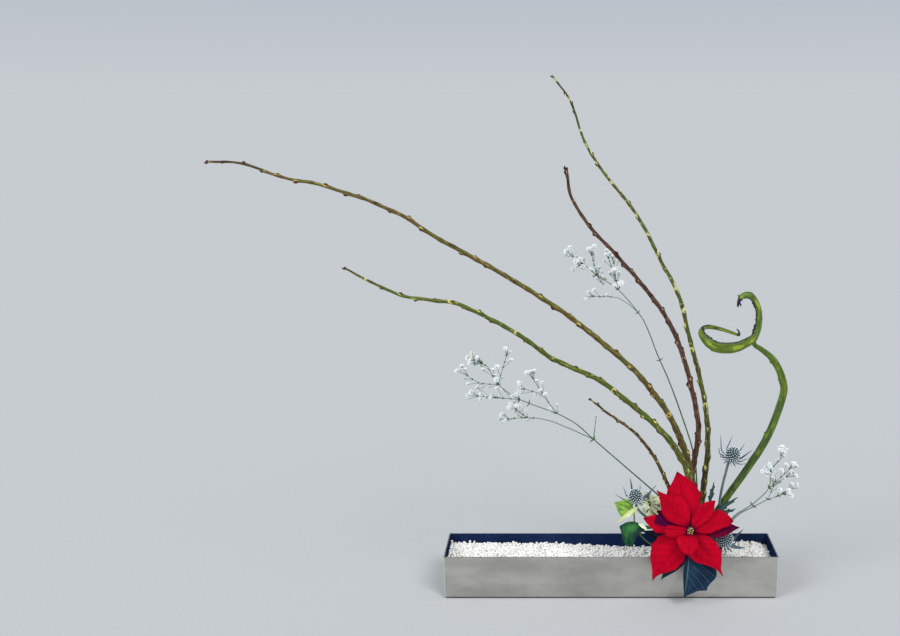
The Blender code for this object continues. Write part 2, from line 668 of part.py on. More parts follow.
def build_sea_holly(name, plant):
    """A stem, a collar of spiny bracts on its end and the cone of florets on the collar."""
    stem_radii = (SEA_HOLLY_STEM_RADIUS, SEA_HOLLY_STEM_RADIUS)
    add_tube(f"{name}_stem", plant["stem"], stem_radii, "sea_holly_blue", sides=6)
    facing = Vector(plant["facing"]).normalized()
    stem_end = Vector(plant["stem"][-1])
    stem_along = (stem_end - Vector(plant["stem"][-2])).normalized()
    seat = SEAT_GAP + SEA_HOLLY_STEM_RADIUS * stem_along.cross(facing).length
    collar_frame = facing_frame(stem_end + facing * seat, facing)

    collar = bmesh.new()
    for height in (0.0, COLLAR_THICKNESS):
        collar_layer(collar, plant["bract"], height)
    rim = [edge for edge in collar.edges if edge.is_boundary]
    bmesh.ops.bridge_loops(collar, edges=rim)
    collar.transform(collar_frame)
    add_object(f"{name}_collar", collar, "sea_holly_blue", smooth=False)

    cone = bmesh.new()
    half_height = plant["cone"] * CONE_HEIGHT_RATIO
    lift = Matrix.Translation((0.0, 0.0, COLLAR_THICKNESS + SEAT_GAP + half_height))
    shape = Matrix.Diagonal((plant["cone"], plant["cone"], half_height, 1.0))
    place = collar_frame @ lift @ shape
    bmesh.ops.create_uvsphere(cone, u_segments=12, v_segments=8, radius=1.0, matrix=place)
    add_object(f"{name}_cone", cone, "sea_holly_blue")


def flower_axes():
    up = Vector((0.0, 0.0, 1.0))
    up = (up - FLOWER_FACING * up.dot(FLOWER_FACING)).normalized()
    return up.cross(FLOWER_FACING), up


def build_bracts():
    """Bracts around the hub, each on its own level, so that none meets the next."""
    right, up = flower_axes()
    start = HUB_RADIUS + 2 * SEAT_GAP
    for level, (name, degrees, length, half_width, curl) in enumerate(BRACTS):
        angle = math.radians(degrees)
        along = right * math.cos(angle) + up * math.sin(angle)
        side = along.cross(FLOWER_FACING)
        depth = FIRST_LEVEL + LEVEL_PITCH * level
        rows = []
        for place, left, right_share in OVAL:
            reach = start + (length - start) * place
            height = curl * reach**2 - depth
            middle = FLOWER_CENTRE + along * reach + FLOWER_FACING * height
            rows.append((middle, left * half_width, right_share * half_width, side, FLOWER_FACING))
        add_blade(name, rows, "poinsettia_red")


def poinsettia_route():
    """The stem's own points, then the back of the hub."""
    return (*POINSETTIA_STEM, FLOWER_CENTRE - FLOWER_FACING * HUB_LENGTH)


def build_poinsettia_stem():
    stem = add_tube(
        "poinsettia_stem", poinsettia_route(), (POINSETTIA_STEM_RADIUS, POINSETTIA_STEM_RADIUS),
        "poinsettia_green",
    )
    hub = bmesh.new()
    middle = FLOWER_CENTRE - FLOWER_FACING * (HUB_LENGTH / 2)
    bmesh.ops.create_cone(
        hub, cap_ends=True, segments=12, radius1=HUB_RADIUS, radius2=HUB_RADIUS, depth=HUB_LENGTH,
        matrix=facing_frame(middle, FLOWER_FACING),
    )
    boolean(stem, "UNION", make_cutter(add_object("hub", hub, "poinsettia_green")))


def build_cyathia():
    """The cluster of small cups in the middle of the flower, on one short foot."""
    frame = facing_frame(FLOWER_CENTRE, FLOWER_FACING)
    foot = bmesh.new()
    bmesh.ops.create_cone(
        foot, cap_ends=True, segments=10, radius1=CYATHIA_FOOT_RADIUS, radius2=CYATHIA_FOOT_RADIUS,
        depth=CYATHIA_FOOT_HEIGHT,
        matrix=frame @ Matrix.Translation((0.0, 0.0, SEAT_GAP + CYATHIA_FOOT_HEIGHT / 2)),
    )
    cyathia = add_object("cyathia", foot, "cyathium_yellow")
    cups = bmesh.new()
    places = [(0.0, 0.0)]
    for index in range(CYATHIA_AROUND):
        angle = 2 * math.pi * index / CYATHIA_AROUND
        places.append((CYATHIUM_RING * math.cos(angle), CYATHIUM_RING * math.sin(angle)))
    shape = Matrix.Diagonal((CYATHIUM_RADIUS, CYATHIUM_RADIUS, CYATHIUM_RADIUS * CYATHIUM_STRETCH, 1.0))
    for x, y in places:
        place = Matrix.Translation((x, y, CYATHIA_FOOT_HEIGHT + CYATHIUM_RADIUS))
        bmesh.ops.create_icosphere(cups, subdivisions=1, radius=1.0, matrix=frame @ place @ shape)
    boolean(cyathia, "UNION", make_cutter(add_object("cups", cups, "cyathium_yellow")), use_self=True)


def build_thin_stems():
    thin = (THIN_STEM_RADIUS, THIN_STEM_RADIUS)
    add_tube("ivy_stem", IVY_STEM, thin, "ivy_green", sides=6)
    add_tube("sprig_stem", SPRIG_STEM, thin, "gypsophila_green", sides=6)


def build_leaves():
    carriers = {
        "poinsettia_stem": (poinsettia_route(), POINSETTIA_STEM_RADIUS),
        "ivy_stem": (IVY_STEM, THIN_STEM_RADIUS),
        "sprig_stem": (SPRIG_STEM, THIN_STEM_RADIUS),
    }
    for name, plant in SEA_HOLLIES.items():
        carriers[f"{name}_stem"] = (plant["stem"], SEA_HOLLY_STEM_RADIUS)
    for name, (carrier, *shape) in LEAVES.items():
        add_leaf(name, *carriers[carrier], *shape)


def standing_stems():
    """Every stem that stands on the pin holder: its route and its radii."""
    stems = {name: (points, BRANCH_RADII[name]) for name, points in BRANCHES.items()}
    stems["willow_curled"] = (CURL_STEM, CURL_STEM_RADII)
    for name, spray in SPRAYS.items():
        stems[name] = (spray["stem"], SPRAY_STEM_RADII)
    for name, plant in SEA_HOLLIES.items():
        stems[f"{name}_stem"] = (plant["stem"], (SEA_HOLLY_STEM_RADIUS, SEA_HOLLY_STEM_RADIUS))
    stems["poinsettia_stem"] = (poinsettia_route(), (POINSETTIA_STEM_RADIUS, POINSETTIA_STEM_RADIUS))
    stems["ivy_stem"] = (IVY_STEM, (THIN_STEM_RADIUS, THIN_STEM_RADIUS))
    stems["sprig_stem"] = (SPRIG_STEM, (THIN_STEM_RADIUS, THIN_STEM_RADIUS))
    return stems


def main():
    clear_scene()
    stems = standing_stems()
    build_tray()
    feet = []
    for points, radii in stems.values():
        for point in smooth_route(points, FOOT_PLACES):
            if point.z < NEEDLE_TOP + radii[0]:
                feet.append((point, radii[0]))
    build_pin_holder(feet)
    build_pebbles(stems)
    build_willows()
    build_curled_willow()
    for name, spray in SPRAYS.items():
        build_spray(name, spray)
    for name, plant in SEA_HOLLIES.items():
        build_sea_holly(name, plant)
    build_poinsettia_stem()
    build_bracts()
    build_cyathia()
    build_thin_stems()
    build_leaves()


main()
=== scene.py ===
"""Looks of the ikebana arrangement: bark, petals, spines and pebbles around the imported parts."""

import math
from random import Random

import bmesh
import bpy
from mathutils import Matrix, Vector, noise
from mathutils.bvhtree import BVHTree


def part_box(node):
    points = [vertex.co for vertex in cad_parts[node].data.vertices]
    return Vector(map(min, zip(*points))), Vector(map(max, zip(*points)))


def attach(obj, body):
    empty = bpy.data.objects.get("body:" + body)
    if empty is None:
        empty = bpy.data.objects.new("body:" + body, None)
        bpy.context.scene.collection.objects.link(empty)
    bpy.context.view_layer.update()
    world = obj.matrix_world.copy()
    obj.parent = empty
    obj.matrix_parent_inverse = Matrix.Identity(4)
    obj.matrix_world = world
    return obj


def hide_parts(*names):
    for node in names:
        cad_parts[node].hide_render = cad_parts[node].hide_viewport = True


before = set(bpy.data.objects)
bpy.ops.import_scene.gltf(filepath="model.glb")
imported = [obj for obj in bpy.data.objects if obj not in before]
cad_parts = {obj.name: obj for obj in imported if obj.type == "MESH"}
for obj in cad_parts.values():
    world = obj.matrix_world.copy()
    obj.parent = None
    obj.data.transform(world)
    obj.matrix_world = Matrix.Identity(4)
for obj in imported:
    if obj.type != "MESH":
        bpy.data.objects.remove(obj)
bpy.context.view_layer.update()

MM = 0.001
WELD = 0.001 * MM
VIEWER = Vector((0.0, -0.95, 0.3)).normalized()  # towards the side that the arrangement faces
RING_EDGE = 4.6 * MM  # a packed stem's edges within one ring are shorter than this
GOLDEN_ANGLE = math.radians(137.5)
FULL_TURN = 2 * math.pi
ANY_TURN = (0, 6.28)
NO_PAINT = (0.0, 0.0, 0.0)
NOISE_SEED = 7
noise.seed_set(NOISE_SEED)  # otherwise noise_vector's offset comes from the clock


def unpainted(*_):
    return NO_PAINT


def turned(first, second, angle):
    """The direction at an angle from the first towards the second."""
    return first * math.cos(angle) + second * math.sin(angle)


def nearest_index(values, value):
    return min(range(len(values)), key=lambda item: abs(values[item] - value))


def add_object(name, data):
    made = bpy.data.objects.new(name, data)
    bpy.context.scene.collection.objects.link(made)
    return made


# ---------------------------------------------------------------- materials


def tone(red, green, blue):
    """Linear colour of an 8-bit sRGB one."""
    linear = []
    for value in (red, green, blue):
        share = value / 255
        linear.append(share / 12.92 if share <= 0.04045 else ((share + 0.055) / 1.055) ** 2.4)
    return (*linear, 1.0)


class Look:
    """A material whose nodes are added one call at a time."""

    def __init__(self, name, roughness=0.5, metallic=0.0, specular=0.5):
        self.material = bpy.data.materials.new(name)
        self.material.use_nodes = True
        self.tree = self.material.node_tree
        self.shader = self.tree.nodes["Principled BSDF"]
        self.shader.inputs["Roughness"].default_value = roughness
        self.shader.inputs["Metallic"].default_value = metallic
        self.shader.inputs["Specular IOR Level"].default_value = specular
        self.place = self.node("ShaderNodeAttribute", attribute_name="place").outputs["Vector"]
        paint = self.node("ShaderNodeAttribute", attribute_name="paint").outputs["Color"]
        self.paint = self.node("ShaderNodeSeparateColor", {0: paint}).outputs

    def node(self, kind, inputs=None, **settings):
        made = self.tree.nodes.new(kind)
        for key, value in settings.items():
            setattr(made, key, value)
        for key, value in (inputs or {}).items():
            self.plug(made.inputs[key], value)
        return made

    def plug(self, socket, value):
        if isinstance(value, bpy.types.NodeSocket):
            self.tree.links.new(value, socket)
        else:
            socket.default_value = value

    def object_place(self):
        return self.node("ShaderNodeTexCoord").outputs["Object"]

    def scaled(self, vector, x, y, z):
        inputs = {0: vector, 1: (x, y, z)}
        return self.node("ShaderNodeVectorMath", inputs, operation="MULTIPLY").outputs[0]

    def noise(self, vector, scale, detail=3.0):
        inputs = {"Vector": vector, "Scale": scale, "Detail": detail}
        return self.node("ShaderNodeTexNoise", inputs).outputs["Fac"]

    def math(self, operation, first, second=0.0):
        return self.node("ShaderNodeMath", {0: first, 1: second}, operation=operation).outputs[0]

    def span(self, value, start, end, low=0.0, high=1.0):
        """A value mapped smoothly from one range to another."""
        inputs = {"Value": value, "From Min": start, "From Max": end, "To Min": low, "To Max": high}
        return self.node("ShaderNodeMapRange", inputs, interpolation_type="SMOOTHSTEP").outputs[0]

    def mix(self, share, first, second, blend="MIX"):
        """A mix of two colours, each the output of a node or 8-bit sRGB values."""
        inputs = {0: share, 6: first, 7: second}
        for key in (6, 7):
            if isinstance(inputs[key], tuple):
                inputs[key] = tone(*inputs[key])
        return self.node("ShaderNodeMix", inputs, data_type="RGBA", blend_type=blend).outputs[2]

    def bump(self, height, distance, strength=1.0):
        inputs = {"Height": height, "Distance": distance, "Strength": strength}
        normal = self.node("ShaderNodeBump", inputs).outputs["Normal"]
        self.plug(self.shader.inputs["Normal"], normal)

    def finish(self, colour, **sockets):
        self.plug(self.shader.inputs["Base Color"], colour)
        for name, value in sockets.items():
            self.plug(self.shader.inputs[name.replace("_", " ")], value)
        return self.material


def steel_look():
    """Satin steel: a fine brushed grain along the tray, under soft clouds."""
    look = Look("brushed_steel_look", roughness=0.42, metallic=1.0)
    place = look.object_place()
    lines = look.noise(look.scaled(place, 30.0, 1500.0, 1500.0), 1.0, 3.0)
    clouds = look.noise(look.scaled(place, 6.0, 20.0, 20.0), 1.0, 3.0)
    marks = look.noise(look.scaled(place, 40.0, 60.0, 60.0), 1.0, 5.0)
    colour = look.mix(look.span(clouds, 0.3, 0.7), (182, 179, 172), (212, 209, 203))
    colour = look.mix(look.span(marks, 0.45, 0.8, 0.0, 0.25), colour, (150, 149, 146))
    colour = look.mix(look.span(lines, 0.4, 0.75, 0.0, 0.12), colour, (120, 119, 116))
    look.bump(lines, 0.00006, 0.3)
    roughness = look.span(marks, 0.3, 0.7, 0.40, 0.52)
    return look.finish(colour, Roughness=roughness)


def edge_look(name, dark, bright, metallic):
    """Steel along a fold or a cut edge: rubbed by handling along the cut edge, and a painted highlight along
    the folded corners.
    """
    look = Look(name, roughness=0.35, metallic=metallic)
    place = look.object_place()
    wear_and_highlight_mottle = look.noise(place, 160.0, 3.0)
    look.bump(wear_and_highlight_mottle, 0.0001, 0.4)
    return look.finish(look.mix(look.span(wear_and_highlight_mottle, 0.35, 0.65), dark, bright))


def lacquer_look():
    """Smooth blue-black lacquer with faint flow marks and dust."""
    look = Look("dark_lacquer_look", roughness=0.45, specular=0.0)
    place = look.object_place()
    flow = look.noise(place, 22.0, 3.0)
    dust = look.noise(place, 700.0, 2.0)
    colour = look.mix(look.span(flow, 0.3, 0.7), (23, 36, 70), (33, 49, 86))
    colour = look.mix(look.span(dust, 0.68, 0.8, 0.0, 0.15), colour, (120, 120, 120))
    look.bump(flow, 0.0004, 0.3)
    return look.finish(colour, Roughness=look.span(dust, 0.3, 0.75, 0.4, 0.55))


def rough_look(name, dark, light, scale, roughness, metallic):
    """A plain worn surface: two tones and a fine bump."""
    look = Look(name, roughness=roughness, metallic=metallic)
    place = look.object_place()
    grain = look.noise(place, scale, 4.0)
    look.bump(grain, 0.0002, 0.6)
    return look.finish(look.mix(look.span(grain, 0.3, 0.7), dark, light))


def pebble_look():
    """White stone with a chalky surface. Paint red is a grain's own tone, and green darkens it: dirt on a
    few grains, and the core in the gaps between them.
    """
    look = Look("white_pebble_look", roughness=0.62, specular=0.4)
    grain = look.noise(look.place, 900.0, 3.0)
    colour = look.mix(look.paint[0], (242, 239, 232), (255, 255, 254))
    colour = look.mix(look.span(grain, 0.55, 0.8, 0.0, 0.2), colour, (206, 200, 190))
    colour = look.mix(look.span(look.paint[1], 0.0, 1.0), colour, (196, 192, 184))
    look.bump(grain, 0.00025, 0.6)
    return look.finish(colour)


def bark_look(name, foot, middle, tip, patch, scar, bud, flecked, streak, roughness):
    """Young bark. Paint red is a leaf scar, and on the curled crest a painted highlight; green is a bud, and
    blue the share of the way to the tip. Undersides are painted towards the patch tone, as painted shade.
    """
    look = Look(name, roughness=roughness, specular=0.3)
    streaks = look.noise(look.scaled(look.place, 480.0, 480.0, 55.0), 1.0, 5.0)
    patches = look.noise(look.scaled(look.place, 170.0, 170.0, 28.0), 1.0, 5.0)
    specks = look.noise(look.scaled(look.place, 900.0, 900.0, 420.0), 1.0, 2.0)
    flecks = look.noise(look.scaled(look.place, 300.0, 300.0, 100.0), 1.0, 3.0)
    colour = look.mix(look.span(look.paint[2], 0.08, 0.42), foot, middle)
    colour = look.mix(look.span(look.paint[2], 0.86, 1.0), colour, tip)
    normal = look.node("ShaderNodeNewGeometry").outputs["Normal"]
    rise = look.node("ShaderNodeSeparateXYZ", {0: normal}).outputs[2]
    # Painted shade: undersides, by the surface's normal, are pulled towards the patch tone.
    patches_and_underside_shade = look.math("ADD", patches, look.span(rise, -0.7, 0.4, 0.14, -0.03))
    colour = look.mix(look.span(patches_and_underside_shade, 0.47, 0.60, 0.0, 0.85), colour, patch)
    darker = look.mix(1.0, colour, (112, 102, 92), "MULTIPLY")
    colour = look.mix(look.span(streaks, 0.47, 0.60, 0.0, streak), colour, darker)
    fewer_at_foot = look.span(look.paint[2], 0.1, 0.4, 0.35, 1.0)
    shown = look.math("MULTIPLY", look.span(flecks, 0.58, 0.66), fewer_at_foot)
    colour = look.mix(look.math("MULTIPLY", shown, flecked), colour, scar)
    ragged = look.math("ADD", look.paint[0], look.math("MULTIPLY", specks, 0.7))
    colour = look.mix(look.span(ragged, 0.60, 0.95, 0.0, 0.9), colour, scar)
    colour = look.mix(look.paint[1], colour, bud)
    height = look.math("ADD", look.math("MULTIPLY", streaks, 0.6), specks)
    look.bump(height, 0.0003, 0.5)
    return look.finish(colour)


def leaf_look(
    name, base, deep, vein, pairs, slope, patch=None, roughness=0.5, glow=0.0, edge=None, tip=None,
    foot=None, veined=0.5, specular=0.2, blotch_scale=(2.4, 3.6), blotches=(0.48, 0.56),
    painted_shadow=None,
):
    """A leaf whose side veins leave the midrib in pairs. Place holds across, along and a seed."""
    look = Look(name, roughness=roughness, specular=specular)
    across, along, seed = look.node("ShaderNodeSeparateXYZ", {0: look.place}).outputs
    off = look.math("ABSOLUTE", across)
    spot = look.node("ShaderNodeCombineXYZ", {0: across, 1: along, 2: seed}).outputs[0]
    drift = look.math("MULTIPLY", look.noise(spot, 3.0, 2.0), 0.35)
    bend = look.math("MULTIPLY", look.math("POWER", off, 0.8), slope)
    phase = look.math("ADD", look.math("SUBTRACT", look.math("MULTIPLY", along, pairs), bend), drift)
    wave = look.math("PINGPONG", phase, 0.5)
    lines = look.span(wave, 0.0, 0.075, 1.0, 0.0)
    rib = look.span(off, 0.012, 0.05, 1.0, 0.0)
    fine = look.noise(look.scaled(spot, 14.0, 26.0, 1.0), 1.0, 4.0)
    clouds = look.noise(spot, 2.6, 2.0)
    colour = look.mix(look.span(clouds, 0.3, 0.7), base, deep)
    colour = look.mix(look.span(wave, 0.2, 0.5, 0.0, 0.45), colour, base)
    if patch:
        blotch = look.noise(look.scaled(spot, *blotch_scale, 5.0), 1.0, 1.5)
        colour = look.mix(look.span(blotch, *blotches), colour, patch)
    colour = look.mix(look.math("MULTIPLY", lines, veined), colour, vein)
    colour = look.mix(look.math("MULTIPLY", rib, min(1.0, veined * 1.5)), colour, vein)
    darker = look.mix(1.0, colour, (226, 226, 226), "MULTIPLY")
    colour = look.mix(look.span(fine, 0.45, 0.7), colour, darker)
    if edge:
        colour = look.mix(look.span(off, 0.9, 1.0, 0.0, 0.8), colour, edge)
    if tip:
        colour = look.mix(look.span(along, 0.88, 0.99, 0.0, 0.9), colour, tip)
    # Darker towards the foot: on the bracts, painted shade where they crowd round the flower's heart.
    if foot:
        colour = look.mix(look.span(along, 0.0, 0.16, 0.9, 0.0), colour, foot)
    # Painted shadow: dark purple over one side of the bract, from its foot to about three quarters of its
    # length.
    if painted_shadow:
        side = look.span(look.math("ADD", across, look.math("MULTIPLY", drift, 0.3)), -0.35, -0.15)
        inner = look.span(along, 0.72, 0.76, 0.92, 0.0)
        colour = look.mix(look.math("MULTIPLY", side, inner), colour, painted_shadow)
    height = look.math("SUBTRACT", look.math("MULTIPLY", fine, 0.35), look.math("MAXIMUM", lines, rib))
    look.bump(height, 0.0003, 0.5)
    look.shader.inputs["Subsurface Weight"].default_value = glow
    look.shader.inputs["Subsurface Scale"].default_value = 0.002
    return look.finish(colour)


def tinted_look(name, base, other, accent, scale, roughness=0.5, stretch=1.0):
    """A grown surface in two tones, which paint red turns towards an accent."""
    look = Look(name, roughness=roughness, specular=0.4)
    grain = look.noise(look.scaled(look.place, scale, scale, scale * stretch), 1.0, 3.0)
    colour = look.mix(look.span(grain, 0.35, 0.68), base, other)
    colour = look.mix(look.paint[0], colour, accent)
    look.bump(grain, 0.0002, 0.5)
    return look.finish(colour)


# ---------------------------------------------------------------- pieces


class Piece:
    """The points, faces and paint of one piece, gathered before its mesh is made."""

    def __init__(self):
        self.points = []
        self.place = []
        self.paint = []
        self.faces = []
        self.finish = []

    def add(self, points, place, paint, faces, finish=0):
        first = len(self.points)
        self.points.extend(points)
        self.place.extend(place)
        self.paint.extend(paint)
        self.faces.extend(tuple(first + corner for corner in face) for face in faces)
        self.finish.extend([finish] * len(faces))

    def make(self, name, materials, nodes=(), slot=None):
        mesh = bpy.data.meshes.new(name)
        mesh.from_pydata([tuple(point) for point in self.points], [], self.faces)
        place = mesh.attributes.new("place", "FLOAT_VECTOR", "POINT")
        place.data.foreach_set("vector", [value for point in self.place for value in point])
        paint = mesh.attributes.new("paint", "FLOAT_COLOR", "POINT")
        paint.data.foreach_set("color", [value for point in self.paint for value in (*point, 1.0)])
        for material in materials:
            mesh.materials.append(material)
        mesh.polygons.foreach_set("material_index", self.finish)
        mesh.shade_smooth()
        mesh.set_sharp_from_angle(angle=math.radians(50))
        made = add_object(name, mesh)
        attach(made, "root")
        if nodes:
            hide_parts(*nodes)
        return made


def spread(values, share):
    """The value at a share of the way along a list."""
    place = min(max(share, 0.0), 1.0) * (len(values) - 1)
    lower = min(int(place), len(values) - 2)
    return values[lower] + (values[lower + 1] - values[lower]) * (place - lower)


def curve_points(points, spacing, bow=1.0):
    """Points along a curve through the given ones, and the share that each has reached.

    A bow of 1 is fully smooth, and 0 leaves straight runs.
    """
    padded = [2 * points[0] - points[1], *points, 2 * points[-1] - points[-2]]
    route = []
    shares = []
    spans = len(points) - 1
    for index in range(spans):
        before, start, end, after = padded[index : index + 4]
        steps = max(1, math.ceil((end - start).length / spacing))
        for step in range(steps):
            share = step / steps
            smooth = 0.5 * (
                2 * start
                + (end - before) * share
                + (2 * before - 5 * start + 4 * end - after) * share**2
                + (3 * start - before - 3 * end + after) * share**3
            )
            route.append(start.lerp(end, share).lerp(smooth, bow))
            shares.append((index + share) / spans)
    return route + [points[-1]], shares + [1.0]


def travelled(route):
    """The length reached at each point of a route."""
    lengths = [0.0]
    for start, end in zip(route, route[1:]):
        lengths.append(lengths[-1] + (end - start).length)
    return lengths


def any_across(direction):
    across = direction.cross(Vector((0.0, 1.0, 0.0)))
    if across.length < 0.1:
        across = direction.cross(Vector((1.0, 0.0, 0.0)))
    return across.normalized()


def route_frames(route, wides=None):
    """Tangent, wide and thin directions at each point of a route."""
    frames = []
    wide = None
    for index in range(len(route)):
        before = route[max(index - 1, 0)]
        after = route[min(index + 1, len(route) - 1)]
        tangent = (after - before).normalized()
        if wides:
            wide = wides[index]
        elif wide is None:
            wide = any_across(tangent)
        wide = (wide - tangent * wide.dot(tangent)).normalized()
        frames.append((tangent, wide, tangent.cross(wide)))
    return frames


def add_tube(piece, route, radius_at, paint_at, sides, frames=None, flatness=1.0, finish=0):
    """A closed tube. radius_at and paint_at take the ring's index and the angle round it."""
    frames = frames or route_frames(route)
    lengths = travelled(route)
    points = []
    place = []
    paint = []
    for index, (centre, (_, wide, thin)) in enumerate(zip(route, frames)):
        for side in range(sides):
            angle = FULL_TURN * side / sides
            radius = radius_at(index, angle)
            flat = radius * flatness
            points.append(centre + wide * (radius * math.cos(angle)) + thin * (flat * math.sin(angle)))
            place.append((radius * math.cos(angle), radius * math.sin(angle), lengths[index]))
            paint.append(paint_at(index, angle))
    faces = []
    for ring in range(len(route) - 1):
        for side in range(sides):
            around = (side + 1) % sides
            low, high = ring * sides, (ring + 1) * sides
            faces.append((low + side, low + around, high + around, high + side))
    faces.append(tuple(reversed(range(sides))))
    last = (len(route) - 1) * sides
    faces.append(tuple(range(last, last + sides)))
    piece.add(points, place, paint, faces, finish)


def add_taper(piece, start, end, radii, paint, sides=5, finish=0):
    """A short straight spike or twig with a radius at each of its even steps."""
    steps = len(radii) - 1
    route = [start.lerp(end, step / steps) for step in range(steps + 1)]
    add_tube(piece, route, lambda index, _: radii[index], lambda *_: paint, sides, finish=finish)


def add_bud(piece, base, along, outwards, length, radius, paint):
    """A pointed bud that leans on its stem."""
    profile = (0.35, 0.82, 1.0, 0.93, 0.72, 0.42, 0.08)
    steps = len(profile) - 1
    route = []
    for step in range(steps + 1):
        share = step / steps
        lean = outwards * (length * 0.16 * math.sin(math.pi * share))
        route.append(base + along * (length * share) + lean)
    add_tube(piece, route, lambda index, _: radius * profile[index], lambda *_: paint, sides=7)


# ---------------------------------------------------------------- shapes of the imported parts


def welded(node):
    """The node's mesh with its doubled points joined."""
    mesh = bmesh.new()
    mesh.from_mesh(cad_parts[node].data)
    bmesh.ops.remove_doubles(mesh, verts=mesh.verts, dist=WELD)
    mesh.verts.ensure_lookup_table()
    return mesh


def corners_of(node):
    mesh = welded(node)
    return [point.co.copy() for point in mesh.verts]


def hops_from(starts):
    """How many edges away each point is from the starting ones."""
    hops = {start: 0 for start in starts}
    front = list(starts)
    while front:
        following = []
        for point in front:
            for edge in point.link_edges:
                other = edge.other_vert(point)
                if other not in hops:
                    hops[other] = hops[point] + 1
                    following.append(other)
        front = following
    return hops


def foot_points(mesh):
    lowest = min(point.co.z for point in mesh.verts)
    return [point for point in mesh.verts if point.co.z < lowest + 0.05 * MM]


def ring_run(cap, most):
    """Rings of points from a cap onwards, up to the first ring with more points than the most."""
    rings = {}
    for point, count in hops_from(cap).items():
        rings.setdefault(count, []).append(point.co.copy())
    run = []
    for count in sorted(rings):
        if len(rings[count]) > most:
            break
        run.append(rings[count])
    return run


def middle(points):
    return sum(points, Vector()) / len(points)


def stem_of(node):
    """Centre and radius of each ring of a plain stem, from its foot to its tip."""
    mesh = welded(node)
    run = ring_run(foot_points(mesh), len(mesh.verts))
    centres = []
    radii = []
    for ring in run:
        if radii:
            reach = 2.6 * radii[-1]
            groups = [[other for other in ring if (other - point).length < reach] for point in ring]
            ring = max(groups, key=len)
        centres.append(middle(ring))
        radii.append(max((point - centres[-1]).length for point in ring))
    return centres, radii


def tree_of(node):
    """Rings, forks and ends of a branched stem: pairs of a centre and the index that it grows from."""
    mesh = welded(node)
    ring_of = {}
    rings = []
    for start in foot_points(mesh)[:1] + list(mesh.verts):
        if start in ring_of:
            continue
        ring = [start]
        ring_of[start] = len(rings)
        for point in ring:
            for edge in point.link_edges:
                other = edge.other_vert(point)
                if other not in ring_of and edge.calc_length() < RING_EDGE:
                    ring_of[other] = len(rings)
                    ring.append(other)
        rings.append(ring)
    order = [0]
    grows_from = {0: None}
    for number in order:
        for point in rings[number]:
            for edge in point.link_edges:
                other = ring_of[edge.other_vert(point)]
                if other not in grows_from:
                    grows_from[other] = order.index(number)
                    order.append(other)
    return [(middle([point.co for point in rings[number]]), grows_from[number]) for number in order]


def leaf_directions(reach, facing):
    """A leaf's direction from foot to tip, the way it faces square to that, and its side."""
    along = reach.normalized()
    facing = (facing - along * facing.dot(along)).normalized()
    return along, facing, along.cross(facing)


class Blade:
    """The axis, directions and half-widths of a leaf node."""

    def __init__(self, node, anchor):
        points = corners_of(node)
        points.sort(key=lambda point: (point - anchor).length)
        self.base = middle(points[:4])
        self.tip = middle(points[-4:])
        self.length = (self.tip - self.base).length
        self.along = (self.tip - self.base).normalized()
        points.sort(key=lambda point: (point - self.base).dot(self.along))
        rows = [points[index : index + 4] for index in range(0, len(points), 4)]

        def flat(vector):
            return vector - self.along * vector.dot(self.along)

        widest = max(rows, key=lambda row: max(flat(a - b).length for a in row for b in row))
        reach = max((flat(a - b) for a in widest for b in widest), key=lambda gap: gap.length)
        facing = self.along.cross(reach).normalized()
        self.facing = facing if facing.dot(VIEWER) > 0 else -facing
        self.side = self.along.cross(self.facing)
        self.left = -min((point - self.base).dot(self.side) for point in points)
        self.right = max((point - self.base).dot(self.side) for point in points)
        self.bows = []
        for row in rows:
            offset = middle(row) - self.base
            self.bows.append((offset.dot(self.along) / self.length, offset.dot(self.facing)))

    def move_ends(self, foot, tip):
        self.base = self.base + foot
        self.tip = self.tip + tip
        self.length = (self.tip - self.base).length
        self.along, self.facing, self.side = leaf_directions(self.tip - self.base, self.facing)

    def axis(self, share):
        """A point on the leaf's middle line."""
        bow = 0.0
        for (start, low), (end, high) in zip(self.bows, self.bows[1:]):
            if start <= share <= end:
                bow = low + (high - low) * (share - start) / max(end - start, WELD)
        return self.base.lerp(self.tip, share) + self.facing * bow


def outline_at(stations, share):
    """Left and right half-widths at a share of the length, along a smooth curve through stations."""
    last = len(stations) - 1
    index = 0
    while index < last - 1 and stations[index + 1][0] < share:
        index += 1
    before = stations[max(index - 1, 0)]
    start, end = stations[index], stations[index + 1]
    after = stations[min(index + 2, last)]
    place = min(max((share - start[0]) / (end[0] - start[0]), 0.0), 1.0)
    widths = []
    for side in (1, 2):
        rise_in = (end[side] - before[side]) / max(end[0] - before[0], WELD) * (end[0] - start[0])
        rise_out = (after[side] - start[side]) / max(after[0] - start[0], WELD) * (end[0] - start[0])
        value = (
            (2 * place**3 - 3 * place**2 + 1) * start[side]
            + (place**3 - 2 * place**2 + place) * rise_in
            + (3 * place**2 - 2 * place**3) * end[side]
            + (place**3 - place**2) * rise_out
        )
        widths.append(max(value, 0.0))
    return widths


